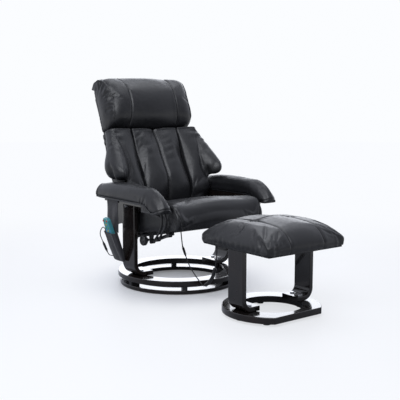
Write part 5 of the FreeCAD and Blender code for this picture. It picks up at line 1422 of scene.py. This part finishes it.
@finish_of("Studio floor")
def floor_cloth(lay, shader, place):
    """Pale studio floor that goes over into the white backdrop, and still takes the chair's shadow. Seen
    straight, it glows little under the chair and more further out, a glow that stands in for light and fades
    the shadow away from the chair's foot; in glosses and bounced light it is painted darker than it looks
    straight on.
    """
    settings = bpy.context.scene.chair_stage
    away = lay.add("ShaderNodeVectorMath", {0: place}, operation="LENGTH").outputs["Value"]
    # Painted light: the glow's share is small under the chair and grows outwards, so the shadow shows deep
    # under the chair and fades further out.
    camera_glow = lay.sum("ADD", lay.between(away, 0.28, 0.60, 0.16, 0.68), lay.between(away, 0.6, 2.8, 0.0, 0.32))
    seen, looked = lay.looks()
    clouds = lay.noise(place, 2.2, 2.0, 0.5)
    pale = lay.blend(clouds, (*settings.floor, 1), (0.88, 0.89, 0.91, 1))
    # Painted shade: glosses and bounced light see a darker floor than the camera does.
    lay.feed(shader.inputs["Base Color"], lay.blend(seen["Is Camera Ray"], (0.36, 0.37, 0.40, 1), pale))
    lay.feed(shader.inputs["Roughness"], lay.between(clouds, 0.3, 0.7, 0.5, 0.6))
    shader.inputs["Specular IOR Level"].default_value = 0.2
    glow = lay.add("ShaderNodeEmission", {"Color": (0.955, 0.97, 1.0, 1), "Strength": 1.0}).outputs[0]
    share = lay.sum("MAXIMUM", lay.sum("MULTIPLY", seen["Is Camera Ray"], camera_glow),
                    lay.sum("MULTIPLY", looked, lay.between(away, 0.9, 3.2)))
    both = lay.add("ShaderNodeMixShader", {0: share, 1: shader.outputs[0], 2: glow})
    output = next(node for node in lay.tree.nodes if node.type == "OUTPUT_MATERIAL")
    lay.feed(output.inputs["Surface"], both.outputs[0])


def lamp(name, place, aim, size, power):
    """Soft rectangular lamp that faces a point."""
    data = bpy.data.lights.new(name, "AREA")
    data.shape = "RECTANGLE"
    data.size, data.size_y = size
    data.energy = power
    data.color = (0.93, 0.955, 1.0)
    piece = link(name, data)
    piece.visible_camera = False
    piece.location = place
    piece.rotation_euler = (Vector(aim) - Vector(place)).to_track_quat("-Z", "Y").to_euler()


class CHAIR_OT_stage(bpy.types.Operator):
    """Add the floor, the room light, the lamps and the camera"""
    bl_idname = "chair.stage"
    bl_label = "Stage"

    def execute(self, context):
        scene = context.scene
        settings = scene.chair_stage
        scene.view_settings.view_transform = "Standard"

        around = np.linspace(0, 2 * math.pi, 96, endpoint=False)
        reach = np.array((0.02, 0.5, 1.0, 2.0, 4.0, 8.0, 14.0))[:, None]
        level = np.zeros((len(reach), len(around)))
        rings = np.stack((reach * np.cos(around), reach * np.sin(around), level), axis=-1)
        floor = surface("studio_floor", rings[::-1], around=True)
        centre = bmesh.new()
        centre.from_mesh(floor.data)
        hole = [edge for edge in centre.edges if edge.is_boundary and edge.verts[0].co.length < 0.1]
        bmesh.ops.holes_fill(centre, edges=hole)
        bmesh.ops.recalc_face_normals(centre, faces=centre.faces)
        centre.faces.ensure_lookup_table()
        if centre.faces[0].normal.z < 0:
            bmesh.ops.reverse_faces(centre, faces=centre.faces)
        centre.to_mesh(floor.data)
        centre.free()
        floor.data.materials.append(floor_cloth())
        floor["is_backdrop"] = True

        world = bpy.data.worlds.new("Studio")
        world.use_nodes = True
        scene.world = world
        lay = Layout(world.node_tree)
        seen, looked = lay.looks()
        ground = world.node_tree.nodes["Background"]
        lay.feed(ground.inputs["Color"],
                 lay.blend(seen["Is Camera Ray"], (0.86, 0.89, 1.0, 1), (0.965, 0.98, 1.0, 1)))
        way = lay.add("ShaderNodeTexCoord").outputs["Generated"]
        beyond = lay.vector("DOT_PRODUCT", way, (0.45, 0.89, 0.0))
        height = lay.add("ShaderNodeSeparateXYZ", {0: way}).outputs["Z"]
        backdrop = lay.between(beyond.outputs["Value"], -0.45, 0.10, 0.45, 1.0)
        room = lay.sum("MAXIMUM", backdrop, lay.between(height, 0.30, 0.75, 0.0, 0.9))
        shown = lay.sum("MAXIMUM", seen["Is Camera Ray"], room)
        strength = lay.add("ShaderNodeMix", {"Factor": looked, "A": settings.fill}, data_type="FLOAT")
        lay.feed(strength.inputs["B"], shown)
        lay.feed(ground.inputs["Strength"], strength.outputs["Result"])

        lamp("key", (-2.1, -1.7, 2.7), (0, -0.2, 0.5), (2.6, 2.0), settings.key)
        lamp("overhead", (0.4, 0.3, 3.0), (0.0, -0.2, 0.4), (2.2, 2.2), settings.key * 0.40)
        lamp("behind", (2.0, 2.4, 1.5), (0.0, -0.3, 0.5), (3.2, 2.0), settings.key * 0.5)

        data = bpy.data.cameras.new("camera")
        data.lens = settings.lens
        data.sensor_width = SENSOR_WIDTH
        data.sensor_fit = "HORIZONTAL"
        data.clip_end = FURTHEST_SEEN
        camera = link("camera", data)
        camera.location = settings.camera_place
        camera.rotation_euler = settings.camera_turn
        scene.camera = camera
        return {"FINISHED"}


class CHAIR_PT_panel(bpy.types.Panel):
    """Steps that dress the chair, in the order in which they are run"""
    bl_idname = "CHAIR_PT_panel"
    bl_label = "Massage chair"
    bl_space_type = "VIEW_3D"
    bl_region_type = "UI"
    bl_category = "Chair"

    def draw(self, context):
        for step in STEPS:
            self.layout.operator(step.bl_idname)
        for group in ("chair_upholstery", "chair_finish", "chair_leads", "chair_stage"):
            settings = getattr(context.scene, group)
            column = self.layout.column(heading=settings.bl_rna.name)
            for trait in settings.bl_rna.properties:
                if trait.identifier not in ("rna_type", "name"):
                    column.prop(settings, trait.identifier)


STEPS = (
    CHAIR_OT_stage, CHAIR_OT_leads, CHAIR_OT_hard_parts, CHAIR_OT_pouch, CHAIR_OT_seat_cushion,
    CHAIR_OT_back_cushion, CHAIR_OT_wings, CHAIR_OT_head_pillow, CHAIR_OT_arm_pads, CHAIR_OT_stool_cushion)
GROUPS = {"chair_upholstery": UpholsterySettings, "chair_finish": FinishSettings, "chair_leads": LeadSettings,
          "chair_stage": StageSettings}


def register():
    """Make the settings, the steps and the panel known."""
    for name, group in GROUPS.items():
        bpy.utils.register_class(group)
        setattr(bpy.types.Scene, name, PointerProperty(type=group))
    for step in STEPS:
        bpy.utils.register_class(step)
    bpy.utils.register_class(CHAIR_PT_panel)


def unregister():
    """Take the panel, the steps and the settings away again."""
    bpy.utils.unregister_class(CHAIR_PT_panel)
    for step in reversed(STEPS):
        bpy.utils.unregister_class(step)
    for name, group in GROUPS.items():
        delattr(bpy.types.Scene, name)
        bpy.utils.unregister_class(group)


def plain(value):
    """Numbers of a box or a vector as plain lists."""
    if isinstance(value, dict):
        return {name: plain(item) for name, item in value.items()}
    if isinstance(value, (int, float)):
        return float(value)
    return [plain(item) for item in value]


def main():
    """Dress the chair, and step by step."""
    register()
    for step in STEPS:
        area, name = step.bl_idname.split(".")
        if getattr(getattr(bpy.ops, area), name)() != {"FINISHED"}:
            raise RuntimeError(f"{step.bl_label} did not finish")
    {"frame": plain(frame_bounds), "dressed": plain(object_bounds())}


if __name__ == "__main__":
    main()
